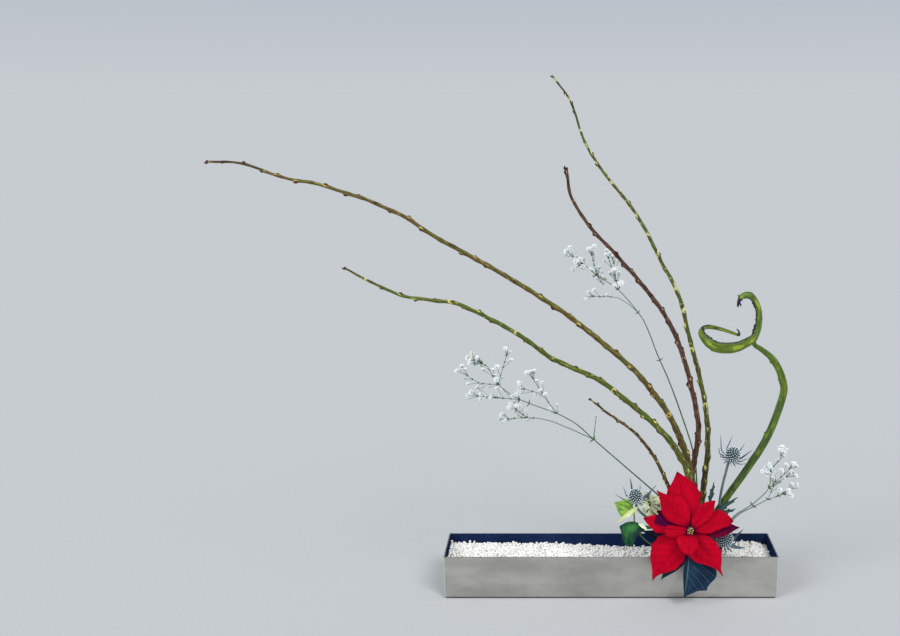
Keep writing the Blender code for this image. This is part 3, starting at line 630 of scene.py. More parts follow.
def add_blade(piece, blade, width_at, height_at, seed, rows, columns, thick):
    """A closed leaf surface: width_at gives both half-widths, height_at the relief in metres."""
    points = []
    place = []
    faces = []
    front = []
    back = []
    for row in range(rows + 1):
        share = row / rows
        left, right = width_at(share)
        centre = blade.axis(share)
        front_row = []
        back_row = []
        for column in range(-columns, columns + 1):
            across = column / columns
            width = left if across < 0 else right
            spot = centre + blade.side * (width * across) + blade.facing * height_at(share, across)
            rim = abs(column) == columns or row in (0, rows)
            front_row.append(len(points))
            points.append(spot)
            if not rim:
                points.append(spot - blade.facing * thick)
            back_row.append(len(points) - 1)
            place.extend([(across, share, seed)] * (1 if rim else 2))
        front.append(front_row)
        back.append(back_row)
    for row in range(rows):
        for column in range(2 * columns):
            for side, turned_over in ((front, False), (back, True)):
                low, high = side[row], side[row + 1]
                face = (low[column], low[column + 1], high[column + 1], high[column])
                faces.append((face[0], *reversed(face[1:])) if turned_over else face)
    piece.add(points, place, [NO_PAINT] * len(points), faces)


# ---------------------------------------------------------------- tray and pin holder


FOLD_RADIUS = 1.3 * MM
INSIDE, CORNERS, RIM = 1, 2, 3  # numbers of the tray's materials, after the outside's 0


def build_tray():
    """The tray as folded and welded sheet: brushed outside, lacquered inside, bare at the rim."""
    low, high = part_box("tray")
    inner_xs = sorted({round(point.co.x, 6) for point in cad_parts["tray"].data.vertices})
    wall = inner_xs[1] - inner_xs[0]
    centre = (low + high) / 2
    sheet = bmesh.new()
    stretched = Matrix.Translation(centre) @ Matrix.Diagonal((*(high - low), 1.0))
    bmesh.ops.create_cube(sheet, size=1.0, matrix=stretched)
    folds = [edge for edge in sheet.edges if any(face.normal.z < 0.9 for face in edge.link_faces)]
    folds = [edge for edge in folds if not all(point.co.z > high.z - WELD for point in edge.verts)]
    bmesh.ops.bevel(
        sheet, geom=folds, offset=FOLD_RADIUS, segments=4, profile=0.5, affect="EDGES", clamp_overlap=True
    )
    top = [face for face in sheet.faces if face.normal.z > 0.9]
    bmesh.ops.delete(sheet, geom=top, context="FACES_ONLY")
    outside = list(sheet.faces)
    loose = [edge for edge in sheet.edges if not edge.link_faces]
    bmesh.ops.delete(sheet, geom=loose, context="EDGES")
    inside = bmesh.ops.duplicate(sheet, geom=outside)
    inner = [item for item in inside["geom"] if isinstance(item, bmesh.types.BMFace)]
    inner_points = {point for face in inner for point in face.verts}
    shrink_x = (high.x - low.x - 2 * wall) / (high.x - low.x)
    shrink_y = (high.y - low.y - 2 * wall) / (high.y - low.y)
    for point in inner_points:
        point.co.x = centre.x + (point.co.x - centre.x) * shrink_x
        point.co.y = centre.y + (point.co.y - centre.y) * shrink_y
        rise = (high.z - point.co.z) / (high.z - low.z)
        point.co.z += wall * rise
    bmesh.ops.reverse_faces(sheet, faces=inner)
    for face in inner:
        face.material_index = INSIDE
    for face in outside:
        if face.is_valid and min(abs(face.normal.x), abs(face.normal.y)) > 0.3:
            face.material_index = CORNERS
    open_edges = [edge for edge in sheet.edges if edge.is_boundary]
    rim = bmesh.ops.bridge_loops(sheet, edges=open_edges)["faces"]
    for face in rim:
        face.material_index = RIM
    bmesh.ops.recalc_face_normals(sheet, faces=sheet.faces)
    mesh = bpy.data.meshes.new("tray_sheet")
    sheet.to_mesh(mesh)
    for material in (
        steel_look(),
        lacquer_look(),
        # The folded corners: near-white and barely metallic, a painted highlight.
        edge_look("painted_highlight_corner_look", (222, 222, 220), (244, 244, 242), 0.3),
        edge_look("cut_edge_look", (96, 97, 100), (170, 170, 170), 1.0),
    ):
        mesh.materials.append(material)
    mesh.shade_smooth()
    mesh.set_sharp_from_angle(angle=math.radians(30))
    tray = add_object("tray_sheet", mesh)
    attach(tray, "root")
    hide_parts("tray")


# Each part: its look, dark and light tones, the scale of its grain, how rough and how metallic it is.
HIDDEN_PARTS = {
    "base_pad": ("rubber_look", (16, 16, 17), (34, 34, 36), 400.0, 0.8, 0.0),
    "kenzan_base": ("lead_look", (70, 72, 76), (112, 114, 118), 260.0, 0.55, 1.0),
    "kenzan_needles": ("brass_look", (150, 118, 58), (196, 160, 84), 300.0, 0.32, 1.0),
}


def dress(node, look):
    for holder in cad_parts[node].material_slots:
        holder.material = look


def dress_hidden_parts():
    """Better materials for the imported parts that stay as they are."""
    for node, settings in HIDDEN_PARTS.items():
        dress(node, rough_look(*settings))


# ---------------------------------------------------------------- pebbles

GRAIN_GAP = 4.3 * MM
GRAIN_KINDS = 14
GRAIN_SQUASH = ((0.85, 1.2), (0.8, 1.0), (0.62, 0.85))
GRAIN_LUMPS = 0.32
GRAIN_SIZES = (1.95, 2.75)  # radii in mm
GRAIN_TILT = 0.7
GRAIN_SHIFT = 1.1 * MM
SUNK = 0.9 * MM
DIRTY_SHARE = 0.05
SECOND_LAYER_SHARE = 0.15
WALL_MARGIN = 2.0 * MM
STEM_MARGIN = 1.2 * MM
CORE_STEP = 3.0 * MM
CORE_EDGE = 0.1 * MM
CORE_SUNK = 3.0 * MM
CORE_BUMPS = 0.8 * MM


def grain_shapes(random):
    """Unit grains: balls pushed in and out, each a little different."""
    shapes = []
    for kind in range(GRAIN_KINDS):
        ball = bmesh.new()
        bmesh.ops.create_icosphere(ball, subdivisions=2, radius=1.0)
        offset = Vector((kind * 7.3, 1.7, 4.1))
        squash = Vector([random.uniform(*limits) for limits in GRAIN_SQUASH])
        points = []
        for point in ball.verts:
            lump = 1.0 + GRAIN_LUMPS * noise.noise(point.co * 1.3 + offset)
            points.append(point.co * squash * lump)
        shapes.append((points, [tuple(point.index for point in face.verts) for face in ball.faces]))
        ball.free()
    return shapes


def stem_crossings(nodes, low, high):
    """Centres of the stems, and their radii, between two heights."""
    crossings = []
    for node in nodes:
        centres, radii = stem_of(node)
        route, shares = curve_points(centres, 2 * MM)
        for point, share in zip(route, shares):
            if low < point.z < high:
                crossings.append((point, spread(radii, share)))
    return crossings


def build_pebbles():
    """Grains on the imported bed's surface, over a bumpy core that closes the gaps between them."""
    random = Random(11)
    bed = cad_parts["pebble_bed"].data
    low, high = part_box("pebble_bed")
    surface = BVHTree.FromPolygons(
        [point.co.copy() for point in bed.vertices], [tuple(face.vertices) for face in bed.polygons]
    )
    down = Vector((0.0, 0.0, -1.0))
    stems = [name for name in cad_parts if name.startswith("willow") or name.endswith("_stem")]
    crossings = stem_crossings(sorted(stems), high.z - 25 * MM, high.z + 8 * MM)

    def level(x, y):
        """Height of the bed, read past the holes that the stems leave."""
        hits = []
        for x_step, y_step in ((0, 0), (9 * MM, 0), (-9 * MM, 0), (0, 9 * MM), (0, -9 * MM)):
            hit = surface.ray_cast(Vector((x + x_step, y + y_step, high.z + 0.1)), down)[0]
            if hit:
                hits.append(hit.z)
        return hits[0] if hits and hits[0] > max(hits) - 6 * MM else max(hits)

    shapes = grain_shapes(random)
    material = pebble_look()
    halves = (Piece(), Piece())
    row_gap = GRAIN_GAP * math.sqrt(3) / 2
    rows = int((high.y - low.y) / row_gap)
    columns = int((high.x - low.x) / GRAIN_GAP)

    def add_grain(x, y, z):
        centre = Vector((x, y, z))
        size = random.uniform(*GRAIN_SIZES) * MM
        spin = Matrix.Rotation(random.uniform(0, FULL_TURN), 3, "Z")
        turn = spin @ Matrix.Rotation(random.uniform(-GRAIN_TILT, GRAIN_TILT), 3, "X")
        points, faces = shapes[random.randrange(GRAIN_KINDS)]
        shade = random.random() ** 0.6
        dirt = 0.5 if random.random() < DIRTY_SHARE else 0.0
        if any((centre - stem).length < radius + STEM_MARGIN for stem, radius in crossings):
            return
        placed = [centre + turn @ (point * size) for point in points]
        half = halves[0] if x < (low.x + high.x) / 2 else halves[1]
        half.add(placed, placed, [(shade, dirt, 0.0)] * len(placed), faces)

    for row in range(rows + 1):
        for column in range(columns + 1):
            x = low.x + (column + 0.5 * (row % 2)) * GRAIN_GAP + random.uniform(-1, 1) * GRAIN_SHIFT
            y = low.y + row * row_gap + random.uniform(-1, 1) * GRAIN_SHIFT
            x = min(max(x, low.x + WALL_MARGIN), high.x - WALL_MARGIN)
            y = min(max(y, low.y + WALL_MARGIN), high.y - WALL_MARGIN)
            z = level(x, y) - SUNK + random.uniform(-1.0, 1.0) * MM
            add_grain(x, y, z)
            if random.random() < SECOND_LAYER_SHARE:
                add_grain(x, y, z + random.uniform(2.4, 3.4) * MM)

    core = Piece()
    wide = high.x - low.x - 2 * CORE_EDGE
    broad = high.y - low.y - 2 * CORE_EDGE
    across = int(wide / CORE_STEP)
    deep = int(broad / CORE_STEP)
    points = []
    for row in range(deep + 1):
        for column in range(across + 1):
            x = low.x + CORE_EDGE + wide * column / across
            y = low.y + CORE_EDGE + broad * row / deep
            bump = noise.noise(Vector((x, y, 0.0)) * 300)
            points.append(Vector((x, y, level(x, y) - CORE_SUNK + CORE_BUMPS * bump)))
    top = len(points)
    points += [Vector((point.x, point.y, low.z)) for point in points]
    faces = []
    stride = across + 1
    for row in range(deep):
        for column in range(across):
            corner = row * stride + column
            quad = (corner, corner + 1, corner + stride + 1, corner + stride)
            faces.append(quad)
            faces.append(tuple(top + index for index in reversed(quad)))
    border = [(column, column + 1) for column in range(across)]
    border += [(row * stride + across, (row + 1) * stride + across) for row in range(deep)]
    border += [(deep * stride + column + 1, deep * stride + column) for column in reversed(range(across))]
    border += [((row + 1) * stride, row * stride) for row in reversed(range(deep))]
    faces += [(end, start, top + start, top + end) for start, end in border]
    # The core shows only in the gaps between grains; it is painted darker, part way to the dirt tone.
    core.add(points, points, [(0.25, 0.6, 0.0)] * len(points), faces)
    core.make("pebble_core", [material], ["pebble_bed"], "white_pebble")
    for name, half in zip(("pebbles_left", "pebbles_right"), halves):
        half.make(name, [material], slot="white_pebble")


# ---------------------------------------------------------------- willow

SWELLING_LENGTH = 6 * MM
BUD_TURN = math.radians(144)
FIRST_BUD = 0.10  # metres from the foot

def bark_nodes(random, length, gaps):
    """Places along a branch where buds sit, and the angle that each looks to."""
    places = []
    place = FIRST_BUD
    angle = random.uniform(0, FULL_TURN)
    while place < length - 8 * MM:
        places.append((place, angle))
        place += random.uniform(*gaps) * MM
        angle += BUD_TURN + random.uniform(-0.5, 0.5)
    return places


def build_willow(node, material, slot, seed, gaps, bud_size, scar_size, kink, girth):
    """A willow shoot: swollen where each bud leans on it, with a pale scar under the bud."""
    random = Random(seed)
    centres, radii = stem_of(node)
    radii = [radius * girth for radius in radii]
    route, shares = curve_points(centres, 1.6 * MM)
    lengths = travelled(route)
    whole = lengths[-1]
    for index, length in enumerate(lengths):
        ease = min(length / 0.12, 1.0) * min((whole - length) / 0.02, 1.0)
        sway = noise.noise_vector(Vector((length * 38, seed, 0.0)))
        route[index] = route[index] + sway * (kink * MM * ease)
    frames = route_frames(route)
    buds = bark_nodes(random, whole, gaps)
    marked = {place: random.choice((0.35, 0.7, 1.0)) * min(1.0, 0.3 + 2 * place) for place, _ in buds}

    def near(index, reach):
        return [bud for bud in buds if abs(bud[0] - lengths[index]) < reach]

    close = [near(index, 12 * MM) for index in range(len(route))]

    def radius_at(index, angle):
        radius = spread(radii, shares[index])
        swell = 0.035 * noise.noise(Vector((math.cos(angle), math.sin(angle), lengths[index] * 60)))
        for place, turn in close[index]:
            gap = (lengths[index] - place) / SWELLING_LENGTH
            facing = max(math.cos(angle - turn), -0.3)
            swell += (0.16 + 0.20 * facing) * math.exp(-gap * gap)
        return radius * (1.0 + swell)

    def paint_at(index, angle):
        scar = 0.0
        for place, turn in close[index]:
            above = (lengths[index] - place) / (scar_size * MM) - 0.9
            aside = (1.0 - math.cos(angle - turn)) / 0.8
            scar = max(scar, marked[place] * (1.0 - above * above - aside * aside))
        return scar, 0.0, lengths[index] / whole

    piece = Piece()
    add_tube(piece, route, radius_at, paint_at, sides=14, frames=frames)
    for place, turn in buds:
        index = nearest_index(lengths, place)
        tangent, wide, thin = frames[index]
        outwards = turned(wide, thin, turn)
        radius = spread(radii, shares[index])
        size = bud_size * random.uniform(0.8, 1.2) * (0.55 + 0.45 * radius / max(radii))
        base = route[index] + outwards * (radius * 0.78)
        along = (tangent + outwards * random.uniform(0.08, 0.22)).normalized()
        paint = (0.25 * random.random(), 0.95, place / whole)
        add_bud(piece, base, along, outwards, 7.0 * MM * size, 1.75 * MM * size, paint)
    end = frames[-1][0]
    for turn in range(3):
        outwards = turned(frames[-1][1], frames[-1][2], turn * 2.1)
        reach = (3.0 + 2.0 * (turn == 0)) * MM * bud_size
        base = route[-1] - end * (2.0 * MM) + outwards * (radii[-1] * 0.6)
        add_bud(piece, base, end, outwards, reach, radii[-1] * 0.9, (0.2, 0.9, 1.0))
    piece.make(f"{node}_bark", [material], [node], slot)


def crest_runs():
    """Stem rings, and the crest's rings from the upper tip round to the inner one."""
    mesh = welded("willow_curled")
    foot = foot_points(mesh)
    from_foot = hops_from(foot)
    stem = ring_run(foot, len(foot))
    first_tip = max(from_foot, key=lambda point: from_foot[point])
    from_first = hops_from([first_tip])
    second_tip = max(from_foot, key=lambda point: min(from_foot[point], from_first[point]))
    runs = []
    for tip in (first_tip, second_tip):
        cap = [point for point in mesh.verts if (point.co - tip.co).length < 4.5 * MM]
        runs.append(ring_run(cap, len(cap)))
    upper, inner = sorted(runs, key=lambda run: -middle(run[0]).z)
    return stem, upper + inner[::-1]


def widest_gap(ring):
    return max((a - b for a in ring for b in ring), key=lambda gap: gap.length)


STEM_MARKS = (0.13, 0.19, 0.26, 0.31, 0.37, 0.42, 0.46)  # metres along the curled shoot's stem
BACK_BUDS = ((0.06, 1.0), (0.24, 0.5), (0.52, 0.5), (0.66, 0.6))  # share along the crest, and lean
TAIL_RADII = (1.4, 1.4, 1.25, 1.05, 0.75, 0.3)  # mm, at each of the tail's steps of 1 mm
TAIL_BEND = 0.12


def build_curled_willow(material):
    """The fasciated shoot: a round stem, and a ridged crest with dark buds along its inner edge."""
    random = Random(5)
    stem, crest = crest_runs()
    piece = Piece()
    centres = [middle(ring) for ring in stem]
    neck = min((middle(ring) for ring in crest), key=lambda centre: (centre - centres[-1]).length)
    centres.append(centres[-1].lerp(neck, 0.6))
    radii = [widest_gap(ring).length / 2 for ring in stem]
    radii.append(radii[-1] * 0.95)
    route, shares = curve_points(centres, 2.5 * MM)
    lengths = travelled(route)
    marks = [(place, random.uniform(*ANY_TURN)) for place in STEM_MARKS]
    close = [[mark for mark in marks if abs(mark[0] - length) < 15 * MM] for length in lengths]

    def stem_radius(index, angle):
        radius = spread(radii, shares[index])
        swell = 0.03 * math.cos(3 * angle + lengths[index] * 20)
        for place, turn in close[index]:
            gap = (lengths[index] - place) / SWELLING_LENGTH
            swell += 0.14 * max(math.cos(angle - turn), 0.0) * math.exp(-gap * gap)
        return radius * (1.0 + swell)

    def stem_paint(index, angle):
        scar = 0.0
        for place, turn in close[index]:
            gap = abs(lengths[index] - place) / (3 * MM)
            if gap < 1.0 and math.cos(angle - turn) > 0.6:
                scar = 0.6 * (1.0 - gap)
        return scar, 0.0, 0.5 * shares[index]

    add_tube(piece, route, stem_radius, stem_paint, sides=16)
    for place, turn in marks:
        index = nearest_index(lengths, place)
        tangent, wide, thin = route_frames(route)[index]
        outwards = turned(wide, thin, turn)
        base = route[index] + outwards * spread(radii, shares[index])
        add_bud(piece, base, tangent, outwards, 5.5 * MM, 1.3 * MM, (0.5, 0.25, 0.4))

    centres = [middle(ring) for ring in crest]
    halves = [widest_gap(ring).length / 2 for ring in crest]
    wides = []
    for ring in crest:
        wide = widest_gap(ring).normalized()
        if wides and wide.dot(wides[-1]) < 0:
            wide = -wide
        wides.append(wide)
    route, shares = curve_points(centres, 1.8 * MM)
    directions = [spread(wides, share) for share in shares]
    frames = route_frames(route, directions)
    heart = middle([centre for centre in centres if centre.z < centres[0].z - 20 * MM])
    hook = middle(centres[:6])
    inner_sides = []
    for point, share, (_, wide, _) in zip(route, shares, frames):
        centre = hook.lerp(heart, min(max((share - 0.30) / 0.25, 0.0), 1.0))
        inner_sides.append(1.0 if (centre - point).dot(wide) > 0 else -1.0)

    def hook_taper(share):
        return min(1.0, 0.45 + 30.0 * share)

    def roundness(share):
        return min(max((share - 0.92) / 0.05, 1.0 - share / 0.03, 0.0), 1.0)

    def crest_radius(index, angle):
        half = spread(halves, shares[index])
        ridges = 0.035 * math.cos(9 * angle) + 0.05 * noise.noise(
            Vector((math.cos(angle) * 2, math.sin(angle) * 2, index * 0.12))
        )
        plump = 1.0 + roundness(shares[index]) * (0.3 + 1.1 * math.sin(angle) ** 2)
        return max(1.08 * half * (1.0 + ridges) * hook_taper(shares[index]) * plump, 0.4 * MM)

    def crest_paint(index, angle):
        share = shares[index]
        inner = math.cos(angle) * inner_sides[index]
        hook = max(1.0 - share / 0.07, (share - 0.90) / 0.06, 0.0)
        ragged = 0.12 * noise.noise(Vector((index * 0.35, 0.0, 7.0)))
        edge = 0.85 if inner > 0.90 + ragged and share < 0.74 else 0.0
        # The scar channel here is a painted highlight: pale yellow-green streaks along the middle of the
        # crest's broad faces, broken up by noise.
        shine = noise.noise(Vector((index * 0.07, 2.0 * math.sin(angle), 3.0)))
        scar = 0.8 * max(0.0, 1.0 - abs(inner - 0.1) / 0.9) * min(max(shine * 2.0 + 0.5, 0.0), 1.0)
        return scar, min(1.0, max(3.0 * hook, edge)), 0.62

    add_tube(piece, route, crest_radius, crest_paint, sides=24, frames=frames, flatness=0.45)
    lengths = travelled(route)
    place = 9 * MM
    while place < lengths[-1] * 0.72:
        index = nearest_index(lengths, place)
        share = shares[index]
        if share < 0.34 or share > 0.44:
            tangent, wide, thin = frames[index]
            outwards = wide * inner_sides[index]
            reach = spread(halves, share) * hook_taper(share) * 0.86
            base = route[index] + outwards * reach + thin * random.uniform(-1, 1) * MM
            towards = -1.0 if share < 0.36 else 1.0
            along = (tangent * towards + outwards * random.uniform(0.1, 0.45)).normalized()
            size = random.uniform(0.6, 1.5)
            paint = (0.0, 0.95, 0.6)
            add_bud(piece, base, along, outwards, 6.0 * MM * size, 1.3 * MM * size, paint)
        place += random.uniform(4.0, 10.0) * MM
    for share, lean in BACK_BUDS:
        index = nearest_index(shares, share)
        tangent, wide, _ = frames[index]
        outwards = wide * -inner_sides[index]
        base = route[index] + outwards * (spread(halves, share) * hook_taper(share) * 0.8)
        along = (outwards * lean + tangent * 0.5).normalized()
        add_bud(piece, base, along, outwards, 4.5 * MM, 1.3 * MM, (0.2, 0.7, 0.6))
    inwards = (route[-1] - route[-6]).normalized()
    tail = []
    for step in range(len(TAIL_RADII)):
        bend = Vector((-TAIL_BEND * step * step * MM, 0, 0))
        tail.append(route[-1] + inwards * (step * MM) + bend)
    add_tube(piece, tail, lambda index, _: TAIL_RADII[index] * MM, lambda *_: (0.0, 1.0, 0.6), sides=8)
    piece.make("willow_curled_bark", [material], ["willow_curled"], "green_bark")


# Each bark: the tones of its foot, middle, tip, patches (also painted on undersides as shade), scars (also
# the curled crest's painted highlights) and buds, and how flecked, how streaked and how rough it is.
BARKS = {
    "olive": (
        (82, 78, 42), (108, 106, 36), (62, 46, 40), (106, 78, 40), (202, 180, 100), (72, 26, 28),
        0.4, 0.6, 0.5,
    ),
    "green": (
        (92, 90, 38), (90, 112, 28), (84, 102, 36), (98, 94, 36), (222, 220, 120), (82, 42, 30),
        0.45, 0.6, 0.5,
    ),
    "tall": (
        (76, 70, 42), (92, 106, 32), (70, 78, 48), (96, 84, 44), (224, 226, 136), (80, 56, 40),
        0.9, 0.75, 0.5,
    ),
    "brown": (
        (90, 78, 54), (86, 52, 44), (72, 38, 38), (106, 76, 54), (176, 144, 106), (66, 22, 32),
        0.35, 0.75, 0.5,
    ),
    "twig": (
        (72, 50, 32), (100, 86, 34), (50, 36, 32), (80, 52, 34), (206, 184, 112), (64, 34, 24),
        0.7, 0.75, 0.5,
    ),
    "curled": (
        (54, 78, 44), (82, 110, 36), (104, 130, 30), (108, 132, 38), (166, 184, 56), (42, 22, 54),
        0.2, 0.45, 0.4,
    ),
}
# Each willow: its bark, its slot, the gaps between its buds in mm, the size of its buds, the length
# of its scars in mm, how far it strays from a smooth line in mm, and its girth.
WILLOWS = {
    "willow_long": ("olive", "olive_bark", (16, 34), 1.45, 5.0, 1.3, 1.08),
    "willow_low": ("green", "green_bark", (15, 32), 1.35, 5.5, 1.1, 1.18),
    "willow_brown": ("brown", "brown_bark", (12, 26), 1.5, 4.0, 1.2, 1.08),
    "willow_tall": ("tall", "green_bark", (14, 28), 1.2, 6.5, 1.0, 1.25),
    "willow_twig": ("twig", "green_bark", (8, 16), 1.05, 3.5, 1.0, 1.2),
}


def build_willows():
    barks = {name: bark_look(f"{name}_bark_look", *settings) for name, settings in BARKS.items()}
    for number, (node, (bark, slot, gaps, *sizes)) in enumerate(WILLOWS.items()):
        build_willow(node, barks[bark], slot, 21 + number, gaps, *sizes)
    build_curled_willow(barks["curled"])


# ---------------------------------------------------------------- gypsophila


WHORLS = ((7, 1.0, 0.12), (6, 0.80, 0.55), (5, 0.55, 1.2))  # petals, reach and tilt
OPEN_SHARE = 0.78
BLOSSOM_RADII = (3.6, 5.4)  # mm
BUD_RADII = (1.4, 2.3)  # mm
TWIG_RADIUS = 0.32 * MM
TIP_RADIUS = 0.42 * MM


def add_petal(piece, centre, along, up, length, width):
    """A small cupped petal, closed front and back."""
    side = along.cross(up).normalized()
    outline = ((0.0, 0.12), (0.35, 0.75), (0.75, 1.0), (1.0, 0.55))
    points = []
    for share, wide in outline:
        rise = up * (length * 0.35 * share * share)
        spot = centre + along * (length * share) + rise
        points += [spot - side * (width * wide / 2), spot + side * (width * wide / 2)]
    lift = up * (length * 0.05)
    points += [centre + along * (length * 0.6) + up * (length * 0.2) - lift * 2.5]
    faces = [(0, 1, 3, 2), (2, 3, 5, 4), (4, 5, 7, 6)]
    ring = [0, 1, 3, 5, 7, 6, 4, 2]
    faces += [(ring[(index + 1) % 8], ring[index], 8) for index in range(8)]
    piece.add(points, points, [NO_PAINT] * 9, faces, finish=1)


def add_blossom(piece, random, centre, facing, radius):
    """A small double flower on a green cup."""
    across = any_across(facing)
    over = facing.cross(across)
    add_taper(
        piece, centre - facing * radius * 0.5, centre + facing * radius * 0.05,
        (0.10 * radius, 0.22 * radius, 0.26 * radius), NO_PAINT, sides=6,
    )
    turn = random.uniform(*ANY_TURN)
    for whorl, (count, reach, tilt) in enumerate(WHORLS):
        for index in range(count):
            angle = turn + whorl * 0.6 + FULL_TURN * index / count + random.uniform(-0.15, 0.15)
            out = turned(across, over, angle)
            along = (out + facing * tilt).normalized()
            up = (facing - along * facing.dot(along)).normalized()
            add_petal(piece, centre, along, up, radius * reach, radius * 0.85 * reach ** 0.5)


def add_closed_bud(piece, centre, facing, radius):
    """A round bud: a green cup with a white top."""
    add_taper(
        piece, centre - facing * radius, centre + facing * radius * 0.3,
        (0.3 * radius, 0.95 * radius, 1.0 * radius), NO_PAINT, sides=6,
    )
    add_taper(
        piece, centre + facing * radius * 0.25, centre + facing * radius * 1.3,
        (0.85 * radius, 0.7 * radius, 0.15 * radius), NO_PAINT, sides=6, finish=1,
    )


def add_leaf_pair(piece, random, centre, along, length):
    """Two narrow leaves at a joint of the stem."""
    along = along.normalized()
    across = along.cross(VIEWER).normalized()
    over = along.cross(across)
    turn = random.uniform(-0.8, 0.8)
    for opposite in (0, math.pi):
        out = turned(across, over, turn + opposite)
        tip = centre + (out + along * 0.35).normalized() * length
        radii = (0.6 * MM, 1.1 * MM, 0.8 * MM, 0.4 * MM, 0.1 * MM)
        add_taper(piece, centre, tip, radii, NO_PAINT, sides=4)


def add_flower_twig(piece, random, fork, heading, swing, angle, reach):
    """A fine twig that leaves a joint sideways and upwards and carries a flower or a bud."""
    across = any_across(heading)
    over = heading.cross(across)
    angle += random.uniform(-0.4, 0.4)
    out = turned(across, over, angle)
    rise = Vector((0.0, 0.0, 0.35 * swing))
    tip = fork + (heading + out * swing + rise).normalized() * (reach * random.uniform(0.65, 1.3))
    joint = fork.lerp(tip, 0.55) + out * (0.5 * MM)
    twig, _ = curve_points([fork, joint, tip], 3 * MM, bow=0.5)
    add_tube(piece, twig, lambda *_: TWIG_RADIUS, unpainted, sides=5)
    facing = (heading * 0.5 + VIEWER * random.uniform(0.2, 1.1) + rise * 2).normalized()
    if random.random() < OPEN_SHARE:
        add_blossom(piece, random, tip, facing, random.uniform(*BLOSSOM_RADII) * MM)
    else:
        add_closed_bud(piece, tip, facing, random.uniform(*BUD_RADII) * MM)
    if swing:
        add_leaf_pair(piece, random, fork, heading, 2.4 * MM)


def pulled_straight(points, low, high):
    """The same points, with those between the two heights put on a straight line."""
    inside = [index for index, point in enumerate(points) if low < point.z < high]
    first, last = inside[0] - 1, inside[-1] + 1
    for index in inside:
        points[index] = points[first].lerp(points[last], (index - first) / (last - first))
    return points


def build_spray(
    node, materials, seed, stem_radius, blossoms, reach, twiggy, crowd, joints, skip_lowest=False, taut=None,
):
    """A gypsophila spray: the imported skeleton, finer twigs at its ends, and small double flowers."""
    random = Random(seed)
    tree = tree_of(node)
    children = {}
    for index, (_, parent) in enumerate(tree):
        if parent is not None:
            children.setdefault(parent, []).append(index)
    depth_below = [0.0] * len(tree)
    for index in reversed(range(len(tree))):
        centre, parent = tree[index]
        if parent is not None:
            below = depth_below[index] + (centre - tree[parent][0]).length
            depth_below[parent] = max(depth_below[parent], below)

    runs = []
    waiting = [(0, [])]
    while waiting:
        index, run = waiting.pop()
        run = [*run, index]
        following = sorted(children.get(index, []), key=lambda child: -depth_below[child])
        following = [
            child for child in following
            if depth_below[child] + (tree[child][0] - tree[index][0]).length > 8 * MM
        ]
        if not following:
            runs.append(run)
            continue
        waiting.append((following[0], run))
        for child in following[1:]:
            waiting.append((child, [index]))

    piece = Piece()
    full = depth_below[0]
    side_runs = [run for run in runs if run[0]]
    lowest = min(side_runs, key=lambda run: (run[0], (tree[run[-1]][0] - tree[run[0]][0]).length))
    bare = lowest if skip_lowest else None
    for run in runs:
        points = [tree[index][0] for index in run]
        if len(points) < 2:
            continue
        if taut and run[0] == 0:
            points = pulled_straight(points, *taut)
        route, shares = curve_points(points, 5 * MM, bow=0.3)
        start = depth_below[run[0]] / full
        start_radius = 0.45 * MM + (stem_radius - 0.45 * MM) * min(start * 1.2, 1.0)
        radii = (start_radius if run[0] == 0 else start_radius * 0.75, TIP_RADIUS)
        add_tube(
            piece, route, lambda index, _: spread(radii, shares[index]), unpainted, sides=6
        )
        end = points[-1]
        heading = (points[-1] - points[-2]).normalized()
        gap = (points[-1] - points[-2]).length
        if run[0] == 0:
            for height in joints:
                index = min(range(1, len(route)), key=lambda item: abs(route[item].z - height))
                add_leaf_pair(piece, random, route[index], route[index] - route[index - 1], 8.0 * MM)
        else:
            first = (points[1] - points[0]).normalized()
            add_leaf_pair(piece, random, points[0], first, (5.0 + 9.0 * start) * MM)
            for number in range(crowd if run[0] != lowest[0] else 0):
                add_flower_twig(piece, random, points[0], first, 0.9, number * GOLDEN_ANGLE, reach)
        if run is bare:
            add_closed_bud(piece, end, heading, 1.4 * MM)
            continue
        fork = end - heading * min(reach * 0.6, gap)
        for number in range(random.randint(*blossoms)):
            swing = 0.0 if number == 0 else random.uniform(0.5, 1.1)
            add_flower_twig(piece, random, fork, heading, swing, number * GOLDEN_ANGLE, reach)
        lengths = travelled(route)
        place = lengths[-1] - random.uniform(16, 22) * MM
        while place > max(10 * MM, lengths[-1] - twiggy):
            index = nearest_index(lengths, place)
            ahead = (route[min(index + 1, len(route) - 1)] - route[index - 1]).normalized()
            add_flower_twig(piece, random, route[index], ahead, 0.9, random.uniform(*ANY_TURN), reach * 1.25)
            place -= random.uniform(9, 15) * MM
    piece.make(f"{node}_spray", materials, [node], "gypsophila_green")


